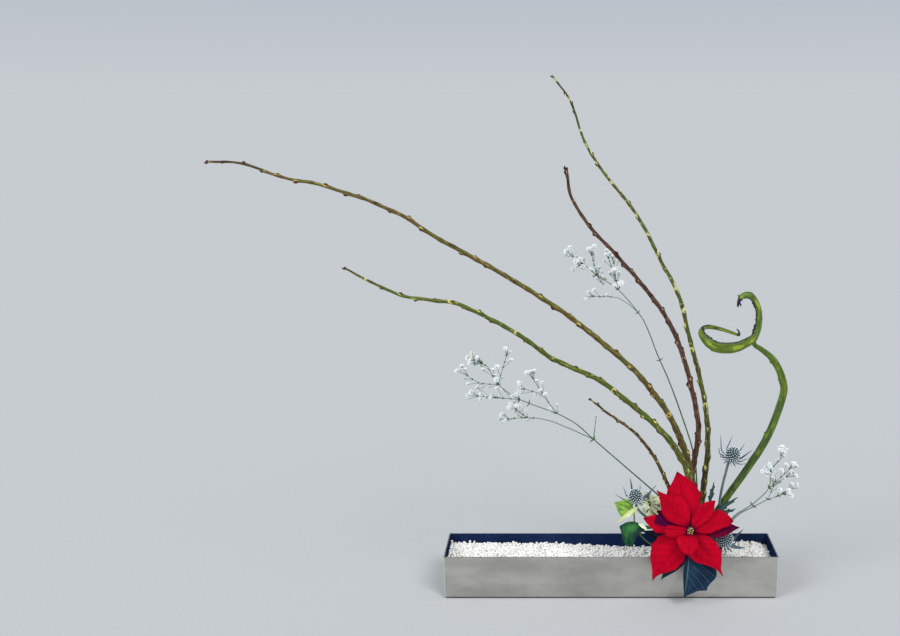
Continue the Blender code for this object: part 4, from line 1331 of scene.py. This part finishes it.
def build_sprays():
    stem = tinted_look(
        "gypsophila_stem_look", (44, 90, 52), (74, 118, 72), (112, 130, 92), scale=700.0,
        stretch=0.2,
    )
    petal = Look("gypsophila_petal_look", roughness=0.6, specular=0.3)
    grain = petal.noise(petal.place, 1400.0, 3.0)
    colour = petal.mix(petal.span(grain, 0.35, 0.7), (255, 255, 255), (240, 241, 240))
    petal.bump(grain, 0.0001, 0.4)
    petal.shader.inputs["Subsurface Weight"].default_value = 0.3
    petal.shader.inputs["Subsurface Scale"].default_value = 0.002
    materials = [stem, petal.finish(colour)]
    build_spray(
        "gypsophila_left", materials, 31, 1.6 * MM, (4, 5), 15 * MM, 60 * MM, 2, (0.3, 0.37), True,
        taut=(0.19, 0.295),
    )
    build_spray("gypsophila_middle", materials, 32, 1.6 * MM, (5, 7), 14 * MM, 45 * MM, 5, (0.24, 0.42))
    build_spray("gypsophila_right_high", materials, 33, 1.4 * MM, (4, 6), 13 * MM, 45 * MM, 1, (0.166,))
    build_spray("gypsophila_right_low", materials, 34, 1.4 * MM, (4, 6), 14 * MM, 40 * MM, 1, (0.161,))


# ---------------------------------------------------------------- sea holly


def spiny_width(half, teeth, depth):
    """Half-widths of a narrow pointed leaf with slanting teeth along both sides."""

    def width_at(share):
        body = half * min(share / 0.3, 1.0) ** 0.6 * min((1.0 - share) / 0.6, 1.0) ** 0.8
        sides = []
        for offset in (0.0, 0.5):
            phase = (share * teeth + offset) % 1.0
            fade = min(share / 0.15, (1.0 - share) / 0.25, 1.0)
            sides.append(max(body * 0.75 + phase**3 * depth * fade, 0.15 * MM))
        return sides if share < 1.0 else (0.0, 0.0)

    return width_at


def build_ribbed_stem(node, name, centres, radii, spacing, girth, depth, ribs, material, slot):
    """A stem with shallow ribs along it."""
    route, shares = curve_points(centres, spacing)

    def radius_at(index, angle):
        return spread(radii, shares[index]) * (girth + depth * math.cos(ribs * angle))

    piece = Piece()
    add_tube(piece, route, radius_at, unpainted, sides=3 * ribs)
    piece.make(name, [material], [node], slot)


class Bent:
    """A curved middle line with its own facing, for a leaf that isn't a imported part."""

    def __init__(self, route, facing):
        self.route = route
        self.along, self.facing, self.side = leaf_directions(route[-1] - route[0], facing)

    def axis(self, share):
        return spread(self.route, share)


def head_frame(name):
    """Centre of a head's cone, and the direction from its collar through it."""
    centre = middle(corners_of(f"{name}_cone"))
    return centre, (centre - middle(corners_of(f"{name}_collar"))).normalized()


# Each head's cone (radius and half height in mm) and its spiny bracts: the clock angle that each
# points to as the viewer sees it, how far it reaches and how wide it is, in mm.
HEADS = {
    "sea_holly_high": (14.0, 16.5, (
        (-32, 40, 2.4), (0, 34, 2.4), (50, 31, 3.0), (77, 38, 4.4), (101, 30, 2.6), (124, 29, 2.4),
        (165, 21, 2.4), (-64, 28, 2.4), (-88, 21, 2.4), (-136, 20, 2.4),
    )),
    "sea_holly_left": (13.5, 15.5, (
        (-16, 35, 4.6), (20, 24, 2.6), (-53, 27, 2.4), (-84, 36, 2.6), (-116, 20, 2.4), (75, 29, 2.6),
        (96, 26, 2.4), (-156, 18, 2.4), (140, 20, 2.4), (62, 42, 5.0),
    )),
    "sea_holly_low": (16.0, 17.5, (
        (63, 39, 8.0), (40, 26, 3.6), (93, 24, 3.4), (112, 42, 9.0), (148, 28, 4.4), (176, 24, 3.6),
        (-150, 24, 3.6), (-60, 24, 3.4), (10, 26, 3.4),
    )),
}


FLORETS_PER_SQUARE_MM = 0.52  # of the cone's radius times its half height
FLORET_CUP = (1.2 * MM, 1.4 * MM, 1.1 * MM)
FLORET_POINT = (1.0 * MM, 1.15 * MM, 0.45 * MM)
FLORET_LENGTHS = (3.0, 3.8)  # mm
CORE_RINGS = 12
SMALL_BRACTS = 14


def build_head(name, materials, seed):
    """The cone of florets in spiral rows, and the spiny bracts that rise around it."""
    random = Random(seed)
    centre, axis = head_frame(name)
    radius, half_height, bracts = HEADS[name]
    radius *= MM
    half_height *= MM
    across = any_across(axis)
    over = axis.cross(across)

    cone = Piece()
    route = []
    widths = []
    for ring in range(CORE_RINGS + 1):
        angle = math.pi * (ring + 0.35) / (CORE_RINGS + 0.7)
        route.append(centre - axis * (half_height * 0.80 * math.cos(angle)))
        widths.append(radius * 0.80 * math.sin(angle))
    add_tube(cone, route, lambda index, _: widths[index], unpainted, sides=24)
    florets = round(FLORETS_PER_SQUARE_MM * HEADS[name][0] * HEADS[name][1])
    for index in range(florets):
        height = 1.0 - 1.8 * (index + 0.5) / florets
        angle = index * GOLDEN_ANGLE
        round_share = math.sqrt(max(1.0 - height * height, 0.0))
        out = turned(across, over, angle)
        surface = centre + axis * (half_height * 0.79 * height) + out * (radius * 0.79 * round_share)
        normal = (out * (round_share / radius) + axis * (height / half_height)).normalized()
        normal = (normal + axis * 0.2).normalized()
        tip = surface + normal * (random.uniform(*FLORET_LENGTHS) * MM)
        add_taper(cone, surface, surface.lerp(tip, 0.55), FLORET_CUP, (0.1, 0.0, 0.0))
        add_taper(cone, surface.lerp(tip, 0.5), tip, FLORET_POINT, (1.0, 0.0, 0.0))
    cone.make(f"{name}_florets", [materials[0]], [f"{name}_cone"], "sea_holly_blue")

    collar = Piece()
    right = Vector((1.0, 0.0, 0.0))
    up = right.cross(-VIEWER)
    foot = centre - axis * (half_height * 0.75)
    for number, (clock, reach, width) in enumerate(bracts):
        turn = math.radians(clock)
        aim = turned(up, right, turn)
        out = (aim - axis * aim.dot(axis)).normalized()
        tip = centre + aim * (reach * MM) + VIEWER * (random.uniform(-4, 4) * MM)
        start = foot + out * (radius * 0.25)
        elbow = foot + out * (radius * 1.1) + (tip - centre) * 0.12
        route, _ = curve_points([start, elbow, elbow.lerp(tip, 0.55) - axis * 1.5 * MM, tip], 1.5 * MM)
        blade = Bent(route, axis + VIEWER * 0.8)
        edge = spiny_width(width * MM / 2, 3.0 + reach / 8, 0.7 * MM)
        add_blade(
            collar, blade, edge, lambda share, off: 0.9 * MM * off * off, seed + number, 60, 3, 0.4 * MM,
        )
    for number in range(SMALL_BRACTS):
        turn = FULL_TURN * number / SMALL_BRACTS + random.uniform(-0.1, 0.1)
        out = turned(across, over, turn)
        tip = foot + out * (radius * random.uniform(1.15, 1.45)) + axis * (random.uniform(-1, 5) * MM)
        blade = Bent([foot + out * (radius * 0.2), foot.lerp(tip, 0.6) - axis * 1.5 * MM, tip], axis)
        edge = spiny_width(0.9 * MM, 2.0, 0.6 * MM)
        add_blade(collar, blade, edge, lambda *_: 0.0, seed + 20 + number, 16, 2, 0.35 * MM)
    collar.make(f"{name}_bracts", [materials[1]], [f"{name}_collar"], "sea_holly_blue")

    centres, radii = stem_of(f"{name}_stem")
    centres.append(centres[-1].lerp(foot, 0.9))
    radii.append(radii[-1])
    node = f"{name}_stem"
    settings = (4 * MM, 1.25, 0.12, 5, materials[2], "sea_holly_blue")
    build_ribbed_stem(node, f"{name}_ribbed_stem", centres, radii, *settings)


# The high stem's leaves: how far each foot is moved in mm, and how much wider the leaf is.
HIGH_LEAVES = {"upper": ((-14, 0, -14), 1.4), "right": ((-13, 0, -12), 1.9), "low": ((0, 0, 0), 1.4)}


def build_sea_hollies():
    florets = tinted_look(
        "sea_holly_floret_look", (28, 46, 58), (52, 76, 88), (218, 232, 236), scale=600.0,
    )
    bract = leaf_look(
        "sea_holly_bract_look", (112, 130, 144), (78, 98, 112), (170, 184, 194), 9.0, 2.0,
        edge=(146, 162, 170),
    )
    stem = tinted_look(
        "sea_holly_stem_look", (84, 102, 104), (112, 128, 126), (150, 160, 160), 500.0,
        stretch=0.12,
    )
    for seed, name in enumerate(HEADS):
        build_head(name, (florets, bract, stem), 41 + seed)
    leaf = leaf_look(
        "sea_holly_leaf_look", (62, 98, 92), (40, 70, 70), (130, 156, 150), 8.0, 1.6,
        edge=(96, 126, 120),
    )
    carrier = stem_of("sea_holly_high_stem")[0]
    for number, (part, (foot, wider)) in enumerate(HIGH_LEAVES.items()):
        node = f"sea_holly_high_leaf_{part}"
        blade = leaf_blade(node, carrier)
        blade.move_ends(Vector(foot) * MM, Vector())
        piece = Piece()
        width = spiny_width(blade.right * wider, 3.0, blade.right * 0.9)
        add_blade(
            piece, blade, width, lambda share, off: 1.2 * MM * off * off - 0.6 * MM * math.sin(14 * share),
            50 + number, 60, 5, 0.4 * MM,
        )
        piece.make(f"{node}_blade", [leaf], [node], "sea_holly_blue")


def leaf_blade(node, carrier):
    """The blade of a leaf whose foot is the end nearest to its stem."""
    points = corners_of(node)
    nearest = min(carrier, key=lambda centre: min((point - centre).length for point in points))
    foot = min(points, key=lambda point: (point - nearest).length)
    return Blade(node, foot)


# ---------------------------------------------------------------- poinsettia

# Bract outlines: share of the length, then the left and right half-widths as shares of the widest.
BRACT_OUTLINES = {
    "top": (
        (0.0, 0.10, 0.10), (0.16, 0.48, 0.45), (0.34, 0.80, 0.84), (0.54, 0.88, 1.04), (0.70, 0.80, 0.85),
        (0.80, 0.48, 0.66), (0.91, 0.20, 0.28), (1.0, 0.0, 0.0),
    ),
    "left_upper": (
        (0.0, 0.10, 0.12), (0.10, 0.26, 0.45), (0.28, 0.64, 0.94), (0.46, 0.76, 1.10), (0.60, 0.66, 0.96),
        (0.72, 0.42, 0.52), (0.84, 0.16, 0.26), (1.0, 0.0, 0.0),
    ),
    "right_upper": (
        (0.0, 0.20, 0.16), (0.18, 0.56, 0.36), (0.38, 0.80, 0.54), (0.58, 0.81, 0.60), (0.76, 0.62, 0.44),
        (0.90, 0.30, 0.18), (1.0, 0.0, 0.0),
    ),
    "right": (
        (0.0, 0.20, 0.16), (0.16, 0.56, 0.44), (0.36, 0.92, 0.62), (0.56, 1.14, 0.50), (0.72, 1.22, 0.40),
        (0.86, 0.80, 0.32), (0.95, 0.36, 0.12), (1.0, 0.0, 0.0),
    ),
    "left": (
        (0.0, 0.16, 0.16), (0.25, 0.48, 0.44), (0.44, 0.76, 0.58), (0.62, 1.00, 0.62), (0.76, 0.72, 0.54),
        (0.90, 0.34, 0.24), (1.0, 0.0, 0.0),
    ),
    "left_inner": (
        (0.0, 0.36, 0.36), (0.20, 0.66, 0.50), (0.46, 1.09, 0.62), (0.76, 1.10, 0.66), (0.92, 0.62, 0.42),
        (1.0, 0.0, 0.0),
    ),
    "left_lower": (
        (0.0, 0.12, 0.30), (0.14, 0.26, 0.84), (0.28, 0.62, 1.22), (0.42, 0.82, 1.38), (0.58, 0.76, 1.27),
        (0.72, 0.46, 0.92), (0.84, 0.12, 0.48), (0.94, 0.00, 0.18), (1.0, 0.0, 0.0),
    ),
    "right_lower": (
        (0.0, 0.24, 0.12), (0.12, 0.62, 0.44), (0.26, 0.88, 1.02), (0.38, 0.98, 1.12), (0.54, 0.97, 0.82),
        (0.70, 0.68, 0.30), (0.84, 0.24, 0.06), (0.94, 0.08, 0.02), (1.0, 0.0, 0.0),
    ),
    "bottom_inner": (
        (0.0, 0.36, 0.60), (0.10, 0.60, 1.06), (0.30, 0.86, 1.26), (0.58, 0.86, 1.02), (0.84, 0.50, 0.62),
        (0.95, 0.24, 0.26), (1.0, 0.0, 0.0),
    ),
    "back": (
        (0.0, 0.14, 0.14), (0.25, 0.62, 0.62), (0.48, 1.00, 1.00), (0.70, 0.76, 0.76), (0.86, 0.34, 0.34),
        (1.0, 0.0, 0.0),
    ),
}
# Relief of each bract in millimetres: how far its sides fold, and how far its edge waves.
BRACT_RELIEF = {
    "top": (-1.2, 1.1),
    "left_upper": (-1.4, 1.2),
    "right_upper": (1.2, 0.8),
    "right": (-1.0, 1.0),
    "left": (-0.8, 0.9),
    "left_inner": (1.0, 0.5),
    "left_lower": (-1.6, 1.4),
    "right_lower": (-1.6, 1.4),
    "bottom_inner": (1.4, 0.5),
    "right_back": (-0.8, 0.6),
    "left_back": (-0.8, 0.6),
}
VEIN_PAIRS = 8.0
VEIN_SLOPE = 1.8


def quilted(fold, wave, seed, pairs=VEIN_PAIRS, slope=VEIN_SLOPE, depth=0.45 * MM):
    """Relief of a veined leaf: folded sides, a waving edge, and a surface that swells between veins."""

    def height_at(share, across):
        off = abs(across)
        body = math.sin(math.pi * min(max(share, 0.0), 1.0)) ** 0.6
        veins = depth * abs(math.sin(math.pi * (share * pairs - slope * off**0.8))) * min(off * 5, 1.0)
        groove = -0.5 * MM * math.exp(-((off / 0.05) ** 2))
        ripple = wave * MM * off * off * math.sin(9.0 * share + seed + (2.0 if across < 0 else 0.0))
        bulge = 1.2 * MM * noise.noise(Vector((across * 1.6, share * 3.0, seed * 3.7)))
        return (fold * MM * off * off + veins * (1 - off**4) + ripple + bulge) * body + groove * body

    return height_at


def build_bracts():
    # The second red look adds a painted shadow to one side of its bract.
    red, half_painted_shadow = [
        leaf_look(
            name, (194, 0, 36), (170, 0, 32), (128, 0, 30), VEIN_PAIRS, VEIN_SLOPE,
            # foot is painted shade: darker where the bracts meet round the heart
            roughness=0.7, glow=0.05, edge=(140, 0, 34), tip=(110, 0, 36), foot=(60, 0, 36),
            veined=0.35, specular=0.05, painted_shadow=painted_shadow,
        )
        for name, painted_shadow in (("red_bract_look", None), ("painted_shadow_bract_look", (58, 2, 52)))
    ]
    # The back bracts get a darker copy of the red look: painted shade.
    dark = leaf_look(
        "painted_shade_bract_look", (112, 4, 44), (76, 2, 48), (60, 2, 40), VEIN_PAIRS, VEIN_SLOPE,
        roughness=0.7, tip=(60, 2, 40), specular=0.06,
    )
    heart = middle(corners_of("cyathia"))
    for number, (name, (fold, wave)) in enumerate(BRACT_RELIEF.items()):
        node = f"bract_{name}"
        blade = Blade(node, heart)
        stations = BRACT_OUTLINES.get(name, BRACT_OUTLINES["back"])
        half = (blade.left + blade.right) / 2

        def width_at(share):
            left, right = outline_at(stations, share)
            rough = 0.03 * math.sin(34 * share + number) * math.sin(math.pi * share)
            return left * half * (1 + rough), right * half * (1 - rough)

        piece = Piece()
        add_blade(piece, blade, width_at, quilted(fold, wave, number), number * 1.7, 64, 14, 0.5 * MM)
        # The left bract takes the look with the painted shadow, the back bracts the painted shade copy.
        material = {"right_back": dark, "left_back": dark, "left": half_painted_shadow}.get(name, red)
        piece.make(f"{node}_petal", [material], [node], "poinsettia_red")


# Leaf outlines, as for the bracts. The front leaf has one tooth near the tip, on its left side.
FRONT_LEAF = (
    (0.0, 0.04, 0.04), (0.18, 0.42, 0.42), (0.40, 0.90, 0.9), (0.58, 1.00, 1.0), (0.72, 0.82, 0.8),
    (0.79, 0.74, 0.6), (0.84, 0.72, 0.5), (0.862, 0.44, 0.4), (0.90, 0.32, 0.3), (0.95, 0.14, 0.15),
    (1.0, 0.0, 0.0),
)
PLAIN_LEAF = (
    (0.0, 0.06, 0.06), (0.18, 0.50, 0.50), (0.34, 0.90, 0.88), (0.48, 1.00, 1.00), (0.64, 0.82, 0.84),
    (0.80, 0.44, 0.46), (0.92, 0.14, 0.16), (1.0, 0.0, 0.0),
)
IVY_LEAF = (
    (0.0, 0.25, 0.25), (0.04, 0.95, 0.50), (0.09, 1.75, 0.80), (0.13, 1.72, 0.92), (0.20, 1.25, 1.12),
    (0.28, 0.98, 1.36), (0.36, 0.82, 1.28), (0.48, 0.56, 1.12), (0.62, 0.38, 1.00), (0.78, 0.28, 0.86),
    (0.90, 0.20, 0.60), (1.0, 0.0, 0.0),
)
NARROW_LEAF = (
    (0.0, 0.12, 0.12), (0.20, 0.70, 0.75), (0.45, 1.00, 1.00), (0.70, 0.80, 0.78), (0.90, 0.34, 0.30),
    (1.0, 0.0, 0.0),
)


def build_leaf(
    node, carrier, stations, material, slot, relief, seed, rows=56, columns=12, wider=1.0, foot=(0, 0, 0),
    tip=(0, 0, 0),
):
    """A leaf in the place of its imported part, with its foot and tip moved by millimetres."""
    blade = leaf_blade(node, carrier)
    blade.move_ends(Vector(foot) * MM, Vector(tip) * MM)
    piece = Piece()

    def width_at(share):
        left, right = outline_at(stations, share)
        return left * blade.left * wider, right * blade.right * wider

    add_blade(piece, blade, width_at, relief, seed, rows, columns, 0.5 * MM)
    foot = min(carrier, key=lambda centre: (centre - blade.base).length)
    stalk, _ = curve_points([foot, foot.lerp(blade.base, 0.5), blade.axis(0.04)], 1.0 * MM)
    add_tube(piece, stalk, lambda *_: 0.8 * MM, unpainted, sides=6)
    piece.make(f"{node}_blade", [material], [node], slot)


def build_poinsettia():
    build_bracts()
    green = leaf_look(
        "poinsettia_leaf_look", (28, 53, 76), (14, 33, 56), (110, 138, 152), 8.0, 3.0,
        roughness=0.6, specular=0.08, veined=0.34,
    )
    mesh = welded("poinsettia_stem")
    foot = foot_points(mesh)
    run = ring_run(foot, len(foot))
    centres = [middle(ring) for ring in run]
    for number, (part, stations, relief) in enumerate((
        ("front", FRONT_LEAF, quilted(1.0, 1.0, 3.0, 8.0, 3.0, 0.7 * MM)),
        ("left", PLAIN_LEAF, quilted(-1.0, 0.8, 4.0, 8.0, 3.0)),
        ("back", PLAIN_LEAF, quilted(-1.0, 0.8, 5.0, 8.0, 3.0)),
    )):
        node = f"poinsettia_leaf_{part}"
        build_leaf(node, centres, stations, green, "poinsettia_green", relief, 60.0 + number)

    stem_green = tinted_look(
        "poinsettia_stem_look", (74, 104, 52), (96, 122, 60), (140, 60, 50), 400.0, stretch=0.15,
    )
    dress("poinsettia_stem", stem_green)
    build_cyathia()


CUPS = 9
STAMENS = 4
STAMEN_TURN = 1.57
CUP_RADII = (0.9, 1.5, 1.75, 1.6, 1.2, 0.9)
STAMEN_RADII = (0.28 * MM, 0.3 * MM, 0.12 * MM)
GLAND_RADII = (0.3 * MM, 0.8 * MM, 0.8 * MM, 0.2 * MM)


def build_cyathia():
    """The small yellow-green cups in the middle of the flower, with red tips, and yellow glands of which
    some are painted near white as glints.
    """
    random = Random(71)
    cup = tinted_look(
        "cyathium_look", (96, 104, 40), (150, 136, 52), (150, 20, 30), 900.0, roughness=0.35,
    )
    gland_and_glint = tinted_look(
        "cyathium_gland_look", (244, 222, 120), (252, 244, 200), (255, 255, 246), 900.0,
        roughness=0.25,
    )
    points = corners_of("cyathia")
    centre = middle(points)
    facing = Blade("bract_top", centre).facing
    top = max((point - centre).dot(facing) for point in points)
    ring = max((point - centre - facing * (point - centre).dot(facing)).length for point in points)
    across = any_across(facing)
    over = facing.cross(across)
    piece = Piece()
    floor = centre - facing * top
    add_taper(piece, floor, centre, (ring * 0.6, ring * 0.62, ring * 0.4), (0.3, 0.0, 0.0), sides=14)
    for number in range(CUPS):
        angle = number * GOLDEN_ANGLE
        out = turned(across, over, angle) * (ring * 0.68 * math.sqrt(number / CUPS))
        base = centre + out - facing * (0.5 * MM)
        lean = (facing + out * 60).normalized()
        size = random.uniform(0.8, 1.1)
        tip = base + lean * (3.6 * MM * size)
        radii = [radius * MM * size for radius in CUP_RADII]
        add_taper(piece, base, tip, radii, NO_PAINT, sides=10)
        for stamen in range(STAMENS):
            turn = stamen * STAMEN_TURN + number
            aside = turned(across, over, turn) * (0.6 * MM)
            end = tip + aside * 1.6 + lean * (1.3 * MM)
            add_taper(piece, tip + aside, end, STAMEN_RADII, (0.9, 0.0, 0.0))
        rim = (out.normalized() if out.length > WELD else across) * (1.5 * MM)
        spot = tip + rim * 0.8 - lean * (0.8 * MM)
        # Two glands in three are painted part way to near white: a painted glint.
        paint = (0.3 * (number % 3), 0.0, 0.0)
        add_taper(piece, spot, spot + lean * 1.2 * MM, GLAND_RADII, paint, sides=8, finish=1)
    piece.make("cyathia_cups", [cup, gland_and_glint], ["cyathia"], "cyathium_yellow")


# ---------------------------------------------------------------- ivy and sprig


def build_thin_stem(node, material, slot):
    centres, radii = stem_of(node)
    build_ribbed_stem(node, f"{node}_skin", centres, radii, 3 * MM, 0.92, 0.06, 3, material, slot)
    return centres


def build_small_leaves():
    stem = tinted_look(
        "thin_stem_look", (64, 92, 50), (96, 112, 66), (120, 80, 60), 600.0, stretch=0.15,
    )
    dark = leaf_look(
        "ivy_dark_look", (14, 56, 42), (6, 34, 40), (84, 138, 92), 3.0, 2.6,
        patch=(50, 116, 56), veined=0.25, specular=0.12, blotch_scale=(1.2, 1.6), blotches=(0.46, 0.7),
        edge=(20, 60, 56),
    )
    lime = leaf_look(
        "ivy_lime_look", (158, 196, 78), (120, 170, 60), (206, 222, 130), 4.0, 2.2,
        patch=(98, 150, 62), roughness=0.4, glow=0.1,
    )
    cream = leaf_look(
        "cream_leaf_look", (252, 255, 222), (244, 253, 200), (252, 255, 230), 4.0, 2.0,
        patch=(84, 124, 76), roughness=0.5, glow=0.15, edge=(250, 251, 226),
        blotch_scale=(3.0, 1.2), blotches=(0.60, 0.64), veined=0.25,
    )
    pale = leaf_look(
        "pale_leaf_look", (226, 232, 180), (204, 218, 140), (240, 242, 206), 4.0, 2.0,
        roughness=0.45, glow=0.1,
    )
    ivy = build_thin_stem("ivy_stem", stem, "ivy_green")
    sprig = build_thin_stem("sprig_stem", stem, "gypsophila_green")
    build_leaf("ivy_leaf_dark", ivy, IVY_LEAF, dark, "ivy_green", quilted(-1.5, 0.8, 1.0, 3.0, 2.6), 80.0)
    build_leaf(
        "ivy_leaf_lime", ivy, PLAIN_LEAF, lime, "ivy_lime", quilted(1.2, 1.0, 2.0, 4.0, 2.2), 81.0,
        wider=1.35, foot=(3, 0, 4), tip=(-2, 0, 6),
    )
    build_leaf(
        "ivy_leaf_cream", ivy, NARROW_LEAF, pale, "cream_leaf", quilted(0.6, 0.4, 3.0, 4.0, 2.0), 82.0,
        wider=1.0, foot=(8, -3, 24), tip=(-4, -9, 0),
    )
    for number, part in enumerate(("top", "right", "left", "low", "inner")):
        relief = quilted(1.0, 0.7, 4.0 + number, 4.0, 2.0, 0.25 * MM)
        build_leaf(
            f"sprig_leaf_{part}", sprig, PLAIN_LEAF, cream, "cream_leaf", relief, 90.0 + 3 * number, 36, 8,
            wider=1.3, tip=(0, -1, 2),
        )
    build_sprig_filling(sprig, (cream, dark))
    build_pale_ivy_leaf(ivy, cream)


def add_narrow_leaf(piece, points, facing, half, relief, seed, rows, columns, thick):
    """A small leaf along a bent middle line, which isn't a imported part."""
    route, _ = curve_points(points, 1.0 * MM)

    def width_at(share):
        return [width * half for width in outline_at(NARROW_LEAF, share)]

    add_blade(piece, Bent(route, facing), width_at, relief, seed, rows, columns, thick)


def build_pale_ivy_leaf(carrier, material):
    """A small pale leaf that hangs over the dark one's foot."""
    start = carrier[-1] + Vector((7.0, -6.0, -14.0)) * MM
    tip = start + Vector((16.0, -10.0, -9.0)) * MM
    bend = start.lerp(tip, 0.5) + Vector((0.0, -4.0, 3.0)) * MM
    piece = Piece()
    relief = quilted(0.8, 0.6, 9.0, 4.0, 2.0, 0.2 * MM)
    add_narrow_leaf(piece, [start, bend, tip], VIEWER, 3.2 * MM, relief, 131.0, 30, 6, 0.4 * MM)
    piece.make("ivy_leaf_small", [material], slot="cream_leaf")


FILLING_LEAVES = 16


def build_sprig_filling(carrier, materials):
    """Small leaves between the larger ones: pale ones, and every third a dark narrow one."""
    random = Random(97)
    piece = Piece()
    for number in range(FILLING_LEAVES):
        share = 0.45 + 0.55 * number / (FILLING_LEAVES - 1)
        start = spread(carrier, share)
        turn = number * GOLDEN_ANGLE
        out = Vector((math.cos(turn), 0.7 * math.sin(turn), random.uniform(0.5, 1.4))).normalized()
        length = random.uniform(11, 17) * MM
        bend = start + out * (length * 0.5) + Vector((0.0, 0.0, 1.5 * MM))
        tip = start + out * length - Vector((0.0, 0.0, 1.0 * MM))
        dark_one = number % 3 == 0
        half = (2.2 if dark_one else 3.8) * MM
        facing = VIEWER + out * 0.3 + Vector((0.0, 0.0, 0.8))
        relief = quilted(0.5, 0.4, number, 4.0, 2.0, 0.2 * MM)
        leaf = Piece()
        add_narrow_leaf(
            leaf, [start, bend, tip], facing, half, relief, 110.0 + number, 24, 5, 0.35 * MM,
        )
        piece.add(leaf.points, leaf.place, leaf.paint, leaf.faces, 1 if dark_one else 0)
    piece.make("sprig_filling", materials, slot="cream_leaf")


# ---------------------------------------------------------------- stage, light and camera


FLOOR_RADIUS = 400.0


def build_stage():
    floor_mesh = bmesh.new()
    bmesh.ops.create_circle(floor_mesh, cap_ends=True, segments=96, radius=FLOOR_RADIUS)
    mesh = bpy.data.meshes.new("floor")
    floor_mesh.to_mesh(mesh)
    look = Look("floor_look", roughness=0.9, specular=0.0)
    grain = look.noise(look.object_place(), 240.0, 3.0)
    colour = look.mix(look.span(grain, 0.3, 0.7), (190, 193, 195), (195, 198, 200))
    look.bump(grain, 0.0002, 0.1)
    mesh.materials.append(look.finish(colour))
    floor = add_object("floor", mesh)


# The sky's colours, by how high each stands: 0 is level and 1 straight up.
SKY = ((0.0, (199, 204, 208)), (0.085, (187, 193, 202)), (0.3, (178, 183, 189)), (1.0, (196, 199, 203)))
# Each sun: where it stands, how wide it is in degrees, its strength and its colour.
SUNS = {
    "key": ((0.75, -1.0, 1.35), 26.0, 1.50, (1.0, 0.985, 0.96)),
    "fill": ((-1.2, -0.8, 0.95), 30.0, 1.30, (0.96, 0.98, 1.0)),
}


def add_soft_sun(name, towards, spread_angle, strength, colour):
    """A wide, even light from one direction, as a large softbox gives."""
    data = bpy.data.lights.new(name, "SUN")
    data.angle = math.radians(spread_angle)
    data.energy = strength
    data.color = colour
    light = add_object(name, data)
    light.rotation_euler = (-Vector(towards)).to_track_quat("-Z", "Y").to_euler()


def build_light():
    world = bpy.data.worlds.new("studio")
    bpy.context.scene.world = world
    world.use_nodes = True
    tree = world.node_tree
    background = tree.nodes["Background"]
    sphere = tree.nodes.new("ShaderNodeTexCoord")
    split = tree.nodes.new("ShaderNodeSeparateXYZ")
    sky = tree.nodes.new("ShaderNodeValToRGB")
    tree.links.new(sphere.outputs["Generated"], split.inputs[0])
    tree.links.new(split.outputs["Z"], sky.inputs[0])
    tree.links.new(sky.outputs["Color"], background.inputs["Color"])
    while len(sky.color_ramp.elements) < len(SKY):
        sky.color_ramp.elements.new(0.5)
    for element, (height, colour) in zip(sky.color_ramp.elements, SKY):
        element.position = height
        element.color = tone(*colour)
    for name, settings in SUNS.items():
        add_soft_sun(name, *settings)
    bpy.context.scene.view_settings.view_transform = "Standard"


CAMERA_PLACE = (-0.088, -1.70, 0.895)
CAMERA_TILT = 77.2  # degrees up from looking straight down
CAMERA_LENS = 40.0
SENSOR_WIDTH = 36.0
SIDE_SHIFT = -0.1244  # the frame's shift to the left, as a share of its width


def build_camera():
    data = bpy.data.cameras.new("camera")
    data.lens = CAMERA_LENS
    data.sensor_width = SENSOR_WIDTH
    data.shift_x = SIDE_SHIFT
    camera = add_object("camera", data)
    camera.location = CAMERA_PLACE
    camera.rotation_euler = (math.radians(CAMERA_TILT), 0.0, 0.0)
    bpy.context.scene.camera = camera


build_camera()
build_light()
build_stage()
build_tray()
dress_hidden_parts()
build_pebbles()
build_willows()
build_sprays()
build_sea_hollies()
build_poinsettia()
build_small_leaves()
